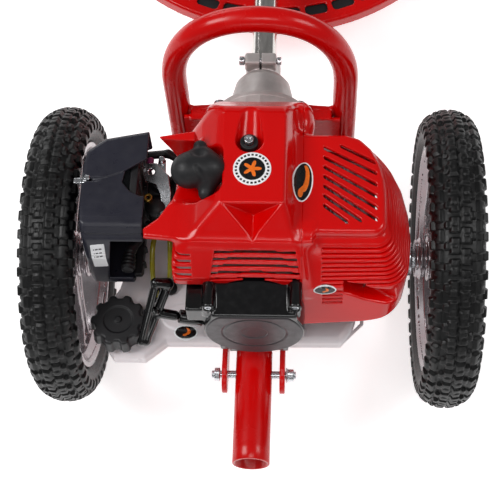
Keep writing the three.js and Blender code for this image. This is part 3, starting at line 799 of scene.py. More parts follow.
def hex_field(p, centre, axis, across, half):
    u, v = [p[i] - centre[i] for i in range(3) if i != axis]
    sides = [
        np.abs(u * math.cos(math.radians(60 * k)) + v * math.sin(math.radians(60 * k))) - across / 2
        for k in range(3)
    ]
    flat = np.maximum(np.maximum(sides[0], sides[1]), sides[2])
    dome = length(u, v) - across / 2 * 1.1
    return both(flat, np.abs(p[axis] - centre[axis]) - half, dome, soft=0.5)


def pin_field(p):
    x = p[0]
    shank = drum(p, (0, PIN_Y, PIN_Z), 0, 4, 41.5, 0.8)
    thread = 0.25 * np.cos(2 * math.pi * x / 1.5) * (x > 32)
    head = hex_field(p, (-36, PIN_Y, PIN_Z), 0, 12.4, 2.6)
    nut = hex_field(p, (36.4, PIN_Y, PIN_Z), 0, 11.6, 3.0)
    washer = drum(p, (32.6, PIN_Y, PIN_Z), 0, 7.4, 0.7, 0.2)
    return either(shank + thread, head, nut, washer)


def stem():
    rings = [(15.5, -212), (17.6, -212), (18, -211.6)]
    rings += [(18, -212 + 115 * i / 8) for i in range(1, 8)]
    rings += [(18, -97.4), (17.6, -97), (15.5, -97)]
    place = BOOM @ Matrix.Translation((0, 0, PIN_Z))
    dress(lathe("handle_tube", rings, place, 72), "red_paint", "handle", ["handle_stem"])


def frame_pieces():
    hoop()
    build(
        "engine_plate_sheet", plate_field, (-72, 106, -16), (80, 126, 100), 1.0, "red_paint",
        "engine_plate"
    )
    build(
        "welded_base", base_field, (-101, -142, -37), (101, 120, 14), 1.1, "red_paint", "frame_base"
    )
    build("stem_pin", pin_field, (-43, -130, -29), (43, -112, -11), 0.5, "steel", "stem_bolt")
    stem()
    for number, (x, z) in enumerate([(-37, 100), (42, 99), (-44, 20), (52, 20)]):
        build(
            f"plate_bolt_{number + 1}",
            lambda p, x=x, z=z: either(
                hex_field(p, (x, 117, z), 1, 8, 2.4), drum(p, (x, 118.8, z), 1, 6, 0.7, 0.2)
            ),
            (x - 7, 113, z - 7), (x + 7, 121, z + 7), 0.5, "steel"
        )


frame_pieces()


# ---------------------------------------------------------------- engine covers
WALL = 2.6


def plane(p, a, b, c):
    """Distance to the plane through three points, which is negative on its underside."""
    normal = (Vector(b) - Vector(a)).cross(Vector(c) - Vector(a)).normalized()
    if normal.z < 0:
        normal = -normal
    return sum((p[i] - a[i]) * normal[i] for i in range(3))


JOINT_X = 47.0
LOUVRE_PITCH, LOUVRE_FOOT = 6.6, 127.0


def dome_body(p):
    """The flat-topped dome over the cylinder, with the louvred skirt's lip round its rear."""
    x, y, z = p
    side = [(97, 100), (97, 136), (60, 184), (50, 190), (-43, 190), (-66, 165)]
    side += [(-73, 157), (-88, 128), (-90, 100)]
    front = [(-70, 100), (-71, 138), (-67, 150), (-46, 171), (-25, 190), (31, 190)]
    front += [(37, 176), (41, 162), (49, 150), (54, 100)]
    plan = [(-76, -96), (-76, 34), (-44, 66), (-38, 100), (60, 100), (60, -96)]
    flanks = both(outline(x, z, front), outline(x, y, plan), soft=12)
    dome = both(outline(y, z, side), flanks, soft=6)
    lip_plan = [(-60, 6), (-71, -26), (-82, -44), (-95, -54), (-94, -62), (-60, -67), (56, -68)]
    lip_plan += [(56, -50), (-40, -40)]
    height = 158.5 - 0.12 * np.maximum(-70 - x, 0)
    lip = both(outline(x, y, lip_plan), np.abs(z - height) - 3.8, soft=3)
    whole = either(dome, lip, soft=8)
    wing = both(
        outline(x, z, [(-82, 190), (-50, 191), (-44, 150), (-64, 148), (-73, 172)]),
        outline(x, y, [(-82, 21), (-82, 23), (-40, 30), (-40, 16)]),
        soft=1.5,
    )
    shoulder = ball(p, (46, 64, 148), (11, 20, 17))
    return either(whole, wing, shoulder, soft=5)


def quarter(centre, across, along, steps=5):
    """A quarter of an ellipse, from its far side round to its right."""
    turns = [math.pi / 2 * (1 - i / steps) for i in range(steps + 1)]
    return [(centre[0] + across * math.cos(a), centre[1] + along * math.sin(a)) for a in turns]


def chest_body(p):
    """The rounded chest over the muffler: a flat top whose sides flare out downwards."""
    x, y, z = p
    top = [(20, 31), *quarter((84, -20), 25, 51), (109, -47), (20, -47)]
    foot = [(20, 40), *quarter((90, -40), 34, 78), (122, -64), (20, -68)]
    t = np.clip((155 - z) / 43, 0, 1) ** 0.75
    low = np.maximum(112 - z, 0)
    plan = []
    for (ax, ay), (bx, by) in zip(top, foot):
        back = 0.21 * low if by < -60 else 0
        inward = 0.10 * low if bx > 100 else 0
        plan.append((ax + (bx - ax) * t - inward, ay + (by - ay) * t - back))
    ring = outline(x, y, plan) - 12 - 10 * t
    return both(ring * 0.88, z - 164.6, soft=6)


def louvres(p, outside):
    """The window across the back and the blades that fill it."""
    x, y, z = p
    arch = 2.5 * (1 - ((x - 6) / 42) ** 2)
    window = both(np.abs(x - 5.5) - 36 - 0.17 * (154 - z), y + 50, between(z - arch, 124, 154.5))
    level = z - LOUVRE_FOOT - 1.4 * (1 - ((x - 6) / 42) ** 2)
    phase = np.mod(level, LOUVRE_PITCH) / LOUVRE_PITCH
    blade = both(window, (phase - 0.5) * LOUVRE_PITCH, outside + 1.2 * phase + 0.4, -(outside + 2.6))
    return window, blade


def top_cover_field(p):
    x, y, z = p
    outside = either(dome_body(p), chest_body(p), soft=7)
    hollow = outside + WALL
    pocket = box(p, (-96, -32, 160), (-24, 17, 215), 9)
    channel = rod(p, (0, 64, 197), (-1, 21, 188), 8.5, 12.5)
    left, right, tip, deep = (-25, -43, 190), (31, -43, 190), (3.5, -67, 163.5), (3.5, -44, 166)
    notch = both(-plane(p, left, tip, deep), -plane(p, right, tip, deep), y + 43.5)
    thick = either(pocket - 2.4, channel - 2.4, notch - 2.4)
    whole = without(outside, both(hollow, -thick))
    whole = without(whole, pocket, soft=2.5)
    whole = without(whole, channel, soft=1.6)
    whole = without(whole, notch, soft=1.0)
    window, blade = louvres(p, outside)
    whole = either(without(whole, both(window, -(outside + 12)), soft=0.5), blade)
    level = np.mod(z - LOUVRE_FOOT + 0.5 * LOUVRE_PITCH, LOUVRE_PITCH) - 0.5 * LOUVRE_PITCH
    gaps = both(x + 52, y + 38, between(z, 124, 151), 1.6 - np.abs(level))
    whole = without(whole, gaps, soft=0.8)
    fan_gap = length(x - CRANK_X, z - CRANK_Z) - 46.6
    return both(without(both(whole, 116.5 - z, soft=0.5), fan_gap, soft=0.6), x - JOINT_X)


def muffler_cover_field(p):
    x, y, z = p
    body = either(dome_body(p), chest_body(p), soft=7)
    # Stepped ribs follow the chest's contour below its flat top.
    groove = np.abs(np.mod(149.3 - z, 4.1) - 2.05) - 0.95
    band = both(65 - x, between(z, 113, 150.5), y - 34, -(body + 2.6))
    outside = without(body - 0.3, both(groove, band), soft=1.0)
    low_rib = np.abs(np.mod(z - 88, 5.2) - 2.6) - 1.6
    low_ribs = both(low_rib, between(x, 66, 84), y + 80, between(z, 88, 109), -(body + 1.6))
    outside = without(outside, low_ribs, soft=0.8)
    upper = [(85, 117), (98, 115.5), (112, 110), (128, 107), (152, 104)]
    lower = [(152, 82), (124, 87), (104, 94), (92, 101), (85, 103.5)]
    flare = outline(x, z, upper + lower)
    floor_y = -64 - 0.44 * (x - 86)
    scoop = both(flare, y - floor_y, soft=4)
    thick = both(flare - 2.6, y - floor_y - 3)
    whole = without(outside, both(body + WALL + 1.2, -thick))
    whole = without(whole, scoop, soft=1.4)
    # Slanting slots in the top.
    rows = [(82, 111, 29.4, 0.56)]
    ends = [112] * 5 + [98, 86]
    rows += [(67, end, 27.2 - 10 * k, 0.56 + 0.04 * k) for k, end in enumerate(ends)]
    slots = 1e3
    for start, end, at, slope in rows:
        past_end = np.maximum(np.abs(x - (start + end) / 2) - (end - start) / 2, 0)
        across = (y + slope * (x - start) - at) / math.hypot(1, slope)
        slots = np.minimum(slots, length(past_end, across) - 1.55)
    whole = without(whole, both(slots, 150 - z), soft=1.0)
    lower_edge = 57 + 0.04 * (x - 48) + 0.008 * np.maximum(x - 100, 0) ** 2 - z
    shell = both(both(whole, lower_edge, soft=3), JOINT_X - x)
    lap = both(body + 0.5, -(body + 2.4), JOINT_X - 1.6 - x, x - JOINT_X - 3, 118 - z)
    return either(shell, lap)


def covers():
    build(
        "moulded_top_cover", top_cover_field, (-97, -93, 115), (48, 99, 193), 0.85, "red_plastic",
        "top_cover"
    )
    build(
        "moulded_muffler_cover", muffler_cover_field, (44.4, -104, 55), (150, 98, 167), 0.85,
        "red_plastic", "muffler_cover"
    )


covers()


# ---------------------------------------------------------------- recoil starter
PULL_START = Vector((CRANK_X - 9.5, -102, CRANK_Z - 26.3))
PULL = Vector((-0.94, 0, 0.341)).normalized()
STARTER_SCREWS = [(-36.5, 117), (41.5, 119.5)]
GRIP_AT = 86.5  # along the pull, from the pulley


def starter_field(p):
    x, y, z = p
    r = length(x - CRANK_X, z - CRANK_Z)
    lid = z - 114.5 - 0.22 * (y + 119)
    crown = outline(x, z, [(-37, 84), (45, 84), (43, 120), (-33, 120)])
    shell = both(either(r - 46, crown, soft=3), lid, between(y, -119, -78), soft=2.4)
    inside = both(r - 43, lid + 3, between(y, -115.5, -60))
    shell = without(shell, inside)
    tabs = []
    for turn in (-128, -116, -56):
        a = math.radians(turn)
        cx, cz = CRANK_X + 47 * math.cos(a), CRANK_Z + 47 * math.sin(a)
        tabs.append(box(p, (cx - 4.5, -119, cz - 4), (cx + 4.5, -112, cz + 4), 1.2))
    whole = either(shell, either(*tabs), soft=1.5)
    for bx, bz in STARTER_SCREWS:
        boss = drum(p, (bx, -96, bz), 1, 6.2, 17, 1.8)
        web = box(p, (bx - 5, -113, bz - 16), (bx + 5, -80, bz - 3), 1)
        web = both(web, 43 - r)
        groove = both(length(x - bx, z - bz) - 3.9, y + 109)
        whole = without(either(whole, boss, web, soft=2.5), groove, soft=0.7)
    side_box = box(p, (-58, -112, 88), (-36, -84, 112), 2.5)
    arm = rod(p, (-36, -98, 66), (-48, -98, 70), 10.5, 9.5)
    whole = either(whole, side_box, arm, soft=3)
    away = [p[i] - PULL_START[i] for i in range(3)]
    along = sum(away[i] * PULL[i] for i in range(3))
    off = np.sqrt(np.maximum(sum(a * a for a in away) - along * along, 0))
    bore = both(off - 6.9, between(along, 30, 80))
    return without(whole, bore, inside, soft=0.4)


def starter_face_field(p):
    x, y, z = p
    r = length(x - CRANK_X, z - CRANK_Z)
    face = both(r - 44.6, z - 112, between(y, -119.9, -118.4), soft=0.8)
    ring = both(np.abs(r - 29) - 0.9, y + 119.2)
    dish = both(r - 12, y + 119.3)
    return without(face, ring, dish, soft=0.5)


def socket_screw(name, centre, axis_end, radius):
    """A socket-head cap screw; its head faces along -Y or +Z."""
    axis = 1 if axis_end == "rear" else 2
    sign = -1 if axis_end == "rear" else 1
    top = centre[axis] + sign * 2.6

    def field(p):
        head = drum(p, centre, axis, radius, 2.6, 0.5)
        mouth = [top if i == axis else centre[i] for i in range(3)]
        sunk = hex_field(p, mouth, axis, radius * 0.95, 1.8)
        return without(head, sunk, soft=0.2)

    pad = radius + 1
    return build(name, field, [c - pad for c in centre], [c + pad for c in centre], 0.4, "steel")


def grip_field(p):
    """A forked bar: two long prongs from a waist where the rope comes in."""
    along = Vector((-0.36, -0.64, -0.68)).normalized()
    centre = PULL_START + PULL * GRIP_AT
    top, foot = centre - along * 31, centre + along * 31
    side = PULL.cross(along).normalized()
    spine = rod(p, top, foot, 4.6, 4.2)
    second = rod(p, top + PULL * 12 + side * 3, foot + PULL * 4.5 + side * 2, 4.0, 3.4)
    cross = rod(p, top, top + PULL * 12 + side * 3, 5.4, 4.6)
    bottom = rod(p, foot, foot + PULL * 4.5 + side * 2, 4.4, 3.8)
    web = rod(p, centre, centre + PULL * 9, 3.4, 3.0)
    neck = rod(p, centre - PULL * 17, centre, 4.8)
    boss = drum(p, centre + Vector((0, -2, 6)), 2, 2.6, 1.6, 0.6)
    return either(either(spine, second, cross, bottom, web, soft=1.6), neck, boss, soft=2)


def pull_piece(name, start, end, profile, sides=32):
    """A turned piece along the rope's way."""
    turn = Vector((0, 1, 0)).rotation_difference(PULL).to_matrix().to_4x4()
    at = PULL_START + PULL * ((start + end) / 2)
    half = (end - start) / 2
    points = [(r, half * y) for r, y in profile]
    return lathe(name, points, BOOM @ Matrix.Translation(at) @ turn, sides)


def starter():
    build(
        "starter_shell", starter_field, (-60, -121, 30), (56, -76, 130), 0.85, "black_plastic",
        "starter_housing"
    )
    build(
        "starter_face", starter_face_field, (-42, -121, 34), (50, -117, 126), 0.6,
        "dark_grey_plastic"
    )
    for number, (x, z) in enumerate(STARTER_SCREWS):
        socket_screw(f"starter_screw_{number + 1}", (x, -110, z), "rear", 3.5)
    low = PULL_START + PULL * GRIP_AT
    build(
        "starter_t_grip", grip_field, [c - 42 for c in low], [c + 42 for c in low], 0.85,
        "black_plastic", "starter_grip", body="starter_handle"
    )
    guide_profile = [(2.4, -1), (6.0, -1), (6.5, -0.95), (6.5, 0.95), (6.0, 1), (2.4, 1)]
    guide = pull_piece("rope_bush", 43, 65, guide_profile)
    dress(guide, "black_plastic", "chassis", ["rope_guide"])


starter()


# ---------------------------------------------------------------- spark plug boot
def boot_field(p):
    """A moulded rubber boot: a fat barrel along X, a dimpled nipple and a curved tail."""
    barrel = rod(p, (-54, -9, 184), (-40, -7, 184), 16.2, 15.0)
    crown = rod(p, (-46, 2, 186), (-45, 13, 187.5), 11.0, 4.6)
    shoulder = rod(p, (-40, 2, 184), (-33, -8, 182), 10.5, 10.5)
    tail = rod(p, (-33, -6, 182), (-39, -27, 175), 10.5, 6.4)
    whole = either(either(barrel, crown, soft=7), shoulder, tail, soft=6)
    dimple = ball(p, (-44, 3, 199), (6.0, 5.5, 4.2))
    crease = rod(p, (-46, -14, 199), (-40, -22, 191), 1.6)
    nipple = ball(p, (-45, 14.5, 188), (5.5, 4.5, 5.0))
    return both(without(either(whole, nipple, soft=3), dimple, crease, soft=3), 166 - p[2])


# ---------------------------------------------------------------- air filter
INTAKE = (14, 92)  # y and z of the bore from filter to cylinder
KNOB = (8, 104)
COVER_PLAN = [(-85, 58), (-85, -64), (-152, -64), (-154, -54), (-159.5, -22), (-159.5, 16), (-155, 33)]
COVER_PLAN += [(-138, 47)]
COVER_SIDE = [(-54, 53), (-61, 62), (-62, 112), (-54, 136), (-47, 147), (-42, 150), (57, 150), (66, 128)]
COVER_SIDE += [(66, 74), (50, 55)]
COVER_NOTCH = [(-84, 26), (-98, 20), (-114, 9), (-115.5, 0), (-109, -8), (-101, -12), (-84, -13)]


def filter_cover_bulk(p):
    x, y, z = p
    belly = 0.0011 * (z - 112) ** 2 - x - 159.5
    return both(both(outline(y, z, COVER_SIDE), outline(x, y, COVER_PLAN), soft=6), belly, soft=6)


def filter_cover_body(p):
    x, z = p[0], p[2]
    flange = x + 113 - 15.5 * ramp(z, 116, 120)
    return both(filter_cover_bulk(p), flange, soft=1)


def filter_cover_field(p):
    x, y, z = p
    body = filter_cover_body(p)
    whole = without(body, filter_cover_bulk(p) + 2.6)
    notch = both(outline(x, y, COVER_NOTCH) - 3, 124 - z)
    ledge = both(y - 3 - 0.4 * np.maximum(x + 136, 0), 149.0 - z)
    groove = both(np.abs(z - 0.62 * (y + 50) - 140) - 1.0, -(x + 153), y + 38, -(body + 1.3))
    crease = rod(p, (-158, 2, 148), (-140, 1, 150.6), 1.6)
    knob_seat = drum(p, (-156, *KNOB), 0, 11, 5, 1)
    vent = both(-(x + 126 + 0.135 * (143 - z)), y + 30, z - 133, 70 - z)
    whole = without(whole, ledge, soft=0.8)
    whole = without(whole, groove, crease, vent, soft=1.2)
    return without(whole, notch, knob_seat, soft=1.4)


def filter_base_field(p):
    x, y, z = p
    side = [(-50, 57), (-57, 66), (-58, 112), (-47, 132), (-18, 145), (34, 145), (58, 124)]
    side += [(60, 76), (46, 59)]
    plate = prism(outline(y, z, side), x, -112.6, -105, 1.2)
    ribs = both(np.abs(np.mod(y + 4, 16) - 8) - 1.1, outline(y, z, side) + 3, between(x, -106, -102.5))
    throat = drum(p, (-104, *INTAKE), 0, 16, 4, 1)
    bore = drum(p, (-108, *INTAKE), 0, 11, 20)
    swing = box(p, (-114.5, -75, 72), (-90, -7, 138), 1)
    return without(either(plate, ribs, throat, soft=1.2), bore, swing, soft=0.6)


def foam_field(p):
    pleats = 0.9 * np.cos(2 * math.pi * p[2] / 7)
    return box(p, (-139.5, -20, 66.5), (-113.4, 43.5, 131.5), 4) + pleats + 0.9


def clip_field(p):
    tongue = box(p, (-165, 0, 141.5), (-153, 6, 144.5), 1)
    roll = rod(p, (-154, -1, 146), (-154, 8, 146), 3.2)
    leaf = box(p, (-154, 0.5, 146), (-149, 5.5, 150.8), 1)
    return either(tongue, roll, leaf, soft=1.4)


def knob_field(p):
    x, y, z = p
    u, v = y - KNOB[0], z - KNOB[1]
    head = both(drum(p, (-158.6, *KNOB), 0, 7.8, 3.6, 0.8), length(u, v) - 7.6)
    turn = np.arctan2(v, u)
    knurl = 0.35 * np.cos(22 * turn)
    slot = both(np.abs(v) - 0.9, x + 161)
    stud = drum(p, (-150, *KNOB), 0, 3.6, 7, 0.4)
    return either(without(head + knurl, slot), stud)


def intake():
    build(
        "rubber_plug_boot", boot_field, (-72, -36, 165), (-20, 21, 204), 0.7, "rubber", "plug_boot"
    )
    build(
        "moulded_filter_cover", filter_cover_field, (-162, -66, 50), (-93, 70, 153), 0.9,
        "grey_plastic", "air_filter_cover"
    )
    build(
        "filter_back_plate", filter_base_field, (-128, -66, 52), (-98, 64, 148), 0.95,
        "matte_black", "air_filter_base"
    )
    build(
        "pleated_element", foam_field, (-142, -24, 64), (-112, 46, 134), 0.9, "foam",
        "air_filter_element"
    )
    build("cover_clip", clip_field, (-168, -4, 136), (-146, 10, 152), 0.5, "steel")
    build(
        "filter_knob", knob_field, (-164, -2, 94), (-142, 18, 114), 0.5, "steel", "cover_knob",
        body="knob"
    )


intake()


# ---------------------------------------------------------------- carburettor and controls
def carburettor_field(p):
    block = box(p, (-101, -5, 79), (-77, 33, 104), 3)
    barrel = drum(p, (-90, *INTAKE), 0, 12.5, 14.5, 1)
    top = drum(p, (-88, 22, 106), 2, 9.5, 7, 1.5)
    pump = box(p, (-100, -9, 72), (-78, 26, 80), 2)
    ear_a = drum(p, (-79, -6, 92), 0, 5, 2.4, 0.5)
    ear_b = drum(p, (-79, 34, 92), 0, 5, 2.4, 0.5)
    bowl = ball(p, (-91, -2, 104), (12, 11, 8))
    whole = either(block, barrel, top, pump, ear_a, ear_b, bowl, soft=2.5)
    return without(whole, drum(p, (-90, *INTAKE), 0, 8, 40), soft=0.6)


def bracket_field(p):
    """A bent chrome strip that carries the throttle cable over the carburettor."""
    x, y, z = p
    plan = [(-106, 37), (-93, 38), (-81, 25), (-78, 8), (-79, -14), (-86, -14), (-87, 6)]
    plan += [(-92, 16), (-105, 22)]
    level = 116.5 - 9 * ramp(-y, -22, 12) + 0.8 * ramp(y, 24, 34)
    strip = both(outline(x, y, plan) - 0.5, np.abs(z - level) - 0.8, soft=0.5)
    strip = without(strip, drum(p, (-97, 29, 117), 2, 3.2, 5), soft=0.4)
    tab = rod(p, (-105, 31, 116), (-106, 28, 106), 2.4)
    eye = drum(p, (-83, -14, 107), 2, 6, 1.4, 0.5)
    hole = drum(p, (-83, -14, 107), 2, 2.6, 5)
    return without(either(strip, tab, eye, soft=1.5), hole, soft=0.4)


def choke_field(p):
    """A ribbed, pear-shaped rubber tip on a short arm."""
    y = p[1]
    elbow = (-103, -25, 88)
    arm = either(rod(p, (-101, -14, 88), elbow, 2.6), rod(p, elbow, (-115, -37, 87), 2.6))
    pivot = drum(p, (-100.5, -14, 88), 0, 5, 2.4, 0.6)
    turn = np.clip((-36 - y) / 26, 0, 1)
    pear = rod(p, (-115.5, -39, 87), (-117.6, -53, 82), 4.8, 7.2)
    ribs = 0.55 * np.cos((y + 36) * 2 * math.pi / 3.4) * ramp(turn, 0.05, 0.2)
    neck = rod(p, (-108, -31, 88), (-115, -40, 87), 3.0, 4.4)
    return either(either(arm, pivot, soft=1.5), pear + ribs * 0.6, neck, soft=2)


def throttle_field(p):
    x, y, z = p
    barrel = drum(p, (-88, 22, 114.9), 2, 6, 1.5, 0.5)
    plan = outline(x, y, [(-92, 22), (-91, 43), (-85, 43), (-84, 22)]) - 0.6
    arm = prism(plan, z, 113.4, 115.6, 0.6)
    post = drum(p, (-88, 42, 117), 2, 3, 3, 0.6)
    return either(barrel, arm, post, soft=1.0)


def ring_field(centre, axis, radius, thick, half):
    return lambda p: both(
        np.abs(length(*[p[i] - centre[i] for i in range(3) if i != axis]) - radius) - thick,
        np.abs(p[axis] - centre[axis]) - half,
        soft=0.6,
    )


def insulator_field(p):
    body = box(p, (-75.6, -8, 74), (-66, 36, 110), 4)
    neck = box(p, (-70, 0, 80), (-45, 28, 104), 4)
    flange = box(p, (-50, -8, 74), (-41.4, 36, 110), 4)
    wall = box(p, (-73, 36, 84), (-60, 58, 112), 3)
    bore = drum(p, (-58, *INTAKE), 0, 8, 40)
    return without(either(body, neck, flange, wall, soft=3), bore, soft=0.6)


def adjuster_field(p):
    return drum(p, (-99.5, 40, 113), 1, 3.4, 6, 1)


def elbow_field(p):
    corner = (-84, 56, 106)
    return either(rod(p, (-104, 55, 104), corner, 4), rod(p, corner, (-68, 50, 100), 4), soft=2)


def carburettor():
    build(
        "carburettor_casting", carburettor_field, (-105, -14, 70), (-73, 41, 115), 0.8,
        "matte_black", "carburettor"
    )
    build("cable_bracket", bracket_field, (-111, -22, 101), (-74, 37, 123), 0.6, "steel")
    build(
        "choke_rubber_lever", choke_field, (-123, -62, 74), (-96, -6, 98), 0.6, "rubber",
        "choke_lever", body="choke"
    )
    build(
        "throttle_arm", throttle_field, (-96, 14, 112), (-80, 47, 121), 0.5, "steel",
        "throttle_lever", body="throttle"
    )
    build(
        "intake_spacer", insulator_field, (-77, -10, 72), (-40, 60, 114), 0.9, "matte_black",
        "intake_insulator"
    )
    build(
        "idle_screw_ring", ring_field((-99, 3, 112.5), 2, 3.0, 1.1, 2.0), (-105, -3, 109),
        (-93, 9, 116), 0.4, "brass"
    )
    build("adjuster_cap", adjuster_field, (-105, 32, 108), (-94, 48, 118), 0.5, "purple_plastic")
    build("vent_elbow", elbow_field, (-110, 44, 95), (-62, 62, 112), 0.7, "matte_black")


carburettor()


# ---------------------------------------------------------------- fuel
NECK = (-127, -97)
TANK_PLAN = [(-132, -52), (-146, -76), (-146, -106), (-132, -126), (-102, -126), (-82, -109)]
TANK_PLAN += [(84, -107), (106, -84), (106, 40), (-112, 40)]


def tank_field(p):
    x, y, z = p
    plan = outline(x, y, TANK_PLAN)
    rounded = both(plan, -(x + 146), soft=10)
    whole = prism(both(rounded, x - 106, soft=24), z, 13, 33.5, 6.5)
    seam = prism(rounded - 0.4, z, 21.5, 23.0, 0.4)
    neck = drum(p, (*NECK, 35), 2, 20, 5, 1.2)
    pad = both(length(x + 66, (y + 84) * 1.6) - 22, np.abs(z - 33.4) - 1.0, soft=1.5)
    inside = prism(plan + 3, z, 16, 30.5, 4)
    mouth = drum(p, (*NECK, 35), 2, 15, 12)
    return without(either(whole, seam, neck, pad, soft=1.6), inside, mouth, soft=0.8)


def cap_field(p):
    x, y, z = p
    u, v = x - NECK[0], y - NECK[1]
    turn = np.arctan2(v, u)
    lobe = 26.0 + 1.9 * np.tanh(2.2 * np.cos(10 * turn))
    body = prism(length(u, v) - lobe + 0.10 * (z - 40) * (z > 40), z, 37, 56, 2.6)
    dish = both(length(u, v) - 13.5, 54.9 - z)
    button = drum(p, (*NECK, 55), 2, 3.2, 1.2, 0.5)
    inside = drum(p, (*NECK, 40), 2, 20.6, 10.5)
    return either(without(body, dish, inside, soft=1.4), button, soft=0.6)


def hose_path(x, y, lean):
    points = [(x, y, 81), (x + lean, y - 16, 78), (x + lean, y - 36, 62)]
    points += [(x, y - 44, 44), (x, y - 44, 33.3)]
    return curve_points(points, 7)


HOSES = {"fuel_hose": (-82, -10, 2), "return_hose": (-94, -18, -2)}


def fuel():
    build(
        "blow_moulded_tank", tank_field, (-148, -128, 12), (108, 42, 41), 1.0, "tank_plastic",
        "fuel_tank"
    )
    build(
        "lobed_fuel_cap", cap_field, (-156, -126, 36), (-98, -68, 58), 0.7, "matte_black",
        "fuel_cap", body="cap"
    )
    for node, (x, y, lean) in HOSES.items():
        path = hose_path(x, y, lean)
        hose = dress(sweep(f"{node}_tube", path, 2.5, sides=20), "hose", "chassis", [node])
        build(
            f"{node}_clip", ring_field((x, y - 1.5, 80.5), 1, 3.1, 0.6, 1.6), (x - 5, y - 5, 75),
            (x + 5, y + 2, 86), 0.4, "steel"
        )
        build(
            f"{node}_grommet", ring_field((x, y - 44, 35.2), 2, 5, 2.2, 1.4), (x - 9, y - 53, 32),
            (x + 9, y - 35, 38), 0.5, "rubber"
        )


fuel()


# ---------------------------------------------------------------- muffler
def muffler_field(p):
    """A pressed steel box in two halves, with a rolled seam and an outlet pipe."""
    can = box(p, (60, -48, 82), (112, 28, 153), 9)
    seam = box(p, (58, -50, 116), (114, 30, 119), 1.2)
    dents = either(*[rod(p, (84 + 12 * i, -34, 154), (84 + 12 * i, 14, 154), 2.0) for i in (-1, 0, 1)])
    outlet = rod(p, (92, -44, 100), (97, -74, 97), 9.0)
    bore = rod(p, (92, -52, 99), (98, -84, 97), 7.0)
    return without(either(can, seam, outlet, soft=2.5), dents, bore, soft=1.5)


def muffler():
    build(
        "pressed_muffler", muffler_field, (55, -80, 78), (118, 34, 156), 1.1, "silver_paint",
        "muffler"
    )


muffler()


# ---------------------------------------------------------------- clutch housing and shaft
CLUTCH_PROFILE = [(13.4, 112.4), (45, 112.4), (45, 117), (36, 119), (31.5, 124), (29.5, 140), (27, 151)]
CLUTCH_PROFILE += [(22, 157.5), (17.5, 160), (17, 163), (17, 176), (13.4, 176)]
CLAMP = (170, 100)  # y and z of the clamp screw


def clutch_field(p):
    x, y, z = p
    r = length(x - CRANK_X, z - CRANK_Z)
    turn = np.arctan2(z - CRANK_Z, x - CRANK_X)
    bell = outline(r, y, CLUTCH_PROFILE) - 0.6
    fins = np.abs(np.mod(turn + 0.2, math.pi / 4) - math.pi / 8) * r - 1.8
    fins = both(fins, r - 40, between(y, 116, 150), (r - 29) + (y - 120) * 0.45)
    ears = box(p, (-14, 163, 90), (18, 177, 106), 3)
    ears = both(ears, -(r - 13.4))
    whole = either(bell, fins, ears, soft=2.2)
    slit = both(np.abs(x - 2) - 1.1, 88 - z, between(y, 161, 180))
    holes = drum(p, (2, *CLAMP), 0, 3.1, 30)
    return without(whole, slit, holes, r - 13.35, soft=0.4)


def clamp_bolt_field(p):
    head = drum(p, (-17, *CLAMP), 0, 4.6, 2.6, 0.6)
    hexagon = hex_field(p, (-19, *CLAMP), 0, 4.2, 1.6)
    shank = drum(p, (2, *CLAMP), 0, 2.9, 19)
    nut = hex_field(p, (20.6, *CLAMP), 0, 7.5, 2.2)
    return either(without(head, hexagon), shank, nut, soft=0.4)


def shaft():
    build(
        "cast_clutch_housing", clutch_field, (-44, 110, 32), (52, 180, 128), 0.85, "aluminium",
        "clutch_housing"
    )
    build(
        "clamp_screw", clamp_bolt_field, (-22, 164, 94), (25, 176, 106), 0.45, "steel",
        "shaft_clamp_bolt"
    )
    rings = [(11.2, 160.0), (12.6, 160.0), (13, 160.6)]
    rings += [(13, 160.6 + 308.6 * i / 24) for i in range(1, 24)]
    rings += [(13, 469.2), (12.6, 469.6), (11.2, 469.6)]
    tube = lathe("polished_shaft_tube", rings, BOOM @ Matrix.Translation((CRANK_X, 0, CRANK_Z)), 72)
    dress(tube, "chrome_tube", "chassis", ["shaft_tube"])
    sleeve = [(10.2, 118), (14.5, 118), (15.5, 119), (15.5, 139), (17.5, 141), (17.5, 154)]
    sleeve += [(16, 156), (10.2, 156)]
    for side in (-1, 1):
        along = BOOM @ Matrix.Rotation(math.radians(-90 * side), 4, "Z")
        spacer = lathe(f"axle_spacer_{'left' if side < 0 else 'right'}", sleeve, along, 64)
        dress(spacer, "steel")


shaft()


# ---------------------------------------------------------------- gear head and guard
HEAD_Z = 159.4
GUARD_EDGE = [(44, 131), (44, 134), (112, 134), (122, 138), (184, 138), (194, 134), (234, 134)]
GUARD_EDGE += [(236, 132), (236, 118), (233.5, 118), (233.5, 131), (193, 131), (183, 135)]
GUARD_EDGE += [(123, 135), (113, 131)]
GUARD_BOLTS = [(-14, -80), (14, -80)]
TO_BOOM = Vector((0, -math.cos(TILT), math.sin(TILT)))  # from the head, back along the shaft


def head_field(p):
    x, y, z = p
    r = length(x, y)
    dome = [(0, 190), (14, 189), (24, 183), (29.5, 172), (30, 160), (30, 133), (0, 133)]
    body = outline(r, z, dome) - 0.4
    start = Vector((0, 0, HEAD_Z))
    collar = rod(p, start, start + TO_BOOM * 64, 18.6)
    bead = rod(p, start + TO_BOOM * 58, start + TO_BOOM * 63, 20.5)
    flange = drum(p, (0, 0, 137), 2, 35, 3.2, 1)
    whole = either(body, collar, flange, bead, soft=3.5)
    for turn in range(4):
        a = math.radians(45 + 90 * turn)
        whole = either(whole, drum(p, (33 * math.cos(a), 33 * math.sin(a), 140), 2, 5.5, 5, 1), soft=2)
    side = outline(y, z, [(-50, 172), (-24, 186), (24, 168), (0, 140), (-30, 150)])
    rib = both(np.abs(x) - 2.2, prism(side, x, -3, 3))
    whole = either(whole, rib, soft=2.5)
    bore = rod(p, start + TO_BOOM * 30, start + TO_BOOM * 90, 13.3)
    inside = both(r - 24, between(z, 120, 178), soft=4)
    return without(whole, bore, inside, soft=0.5)


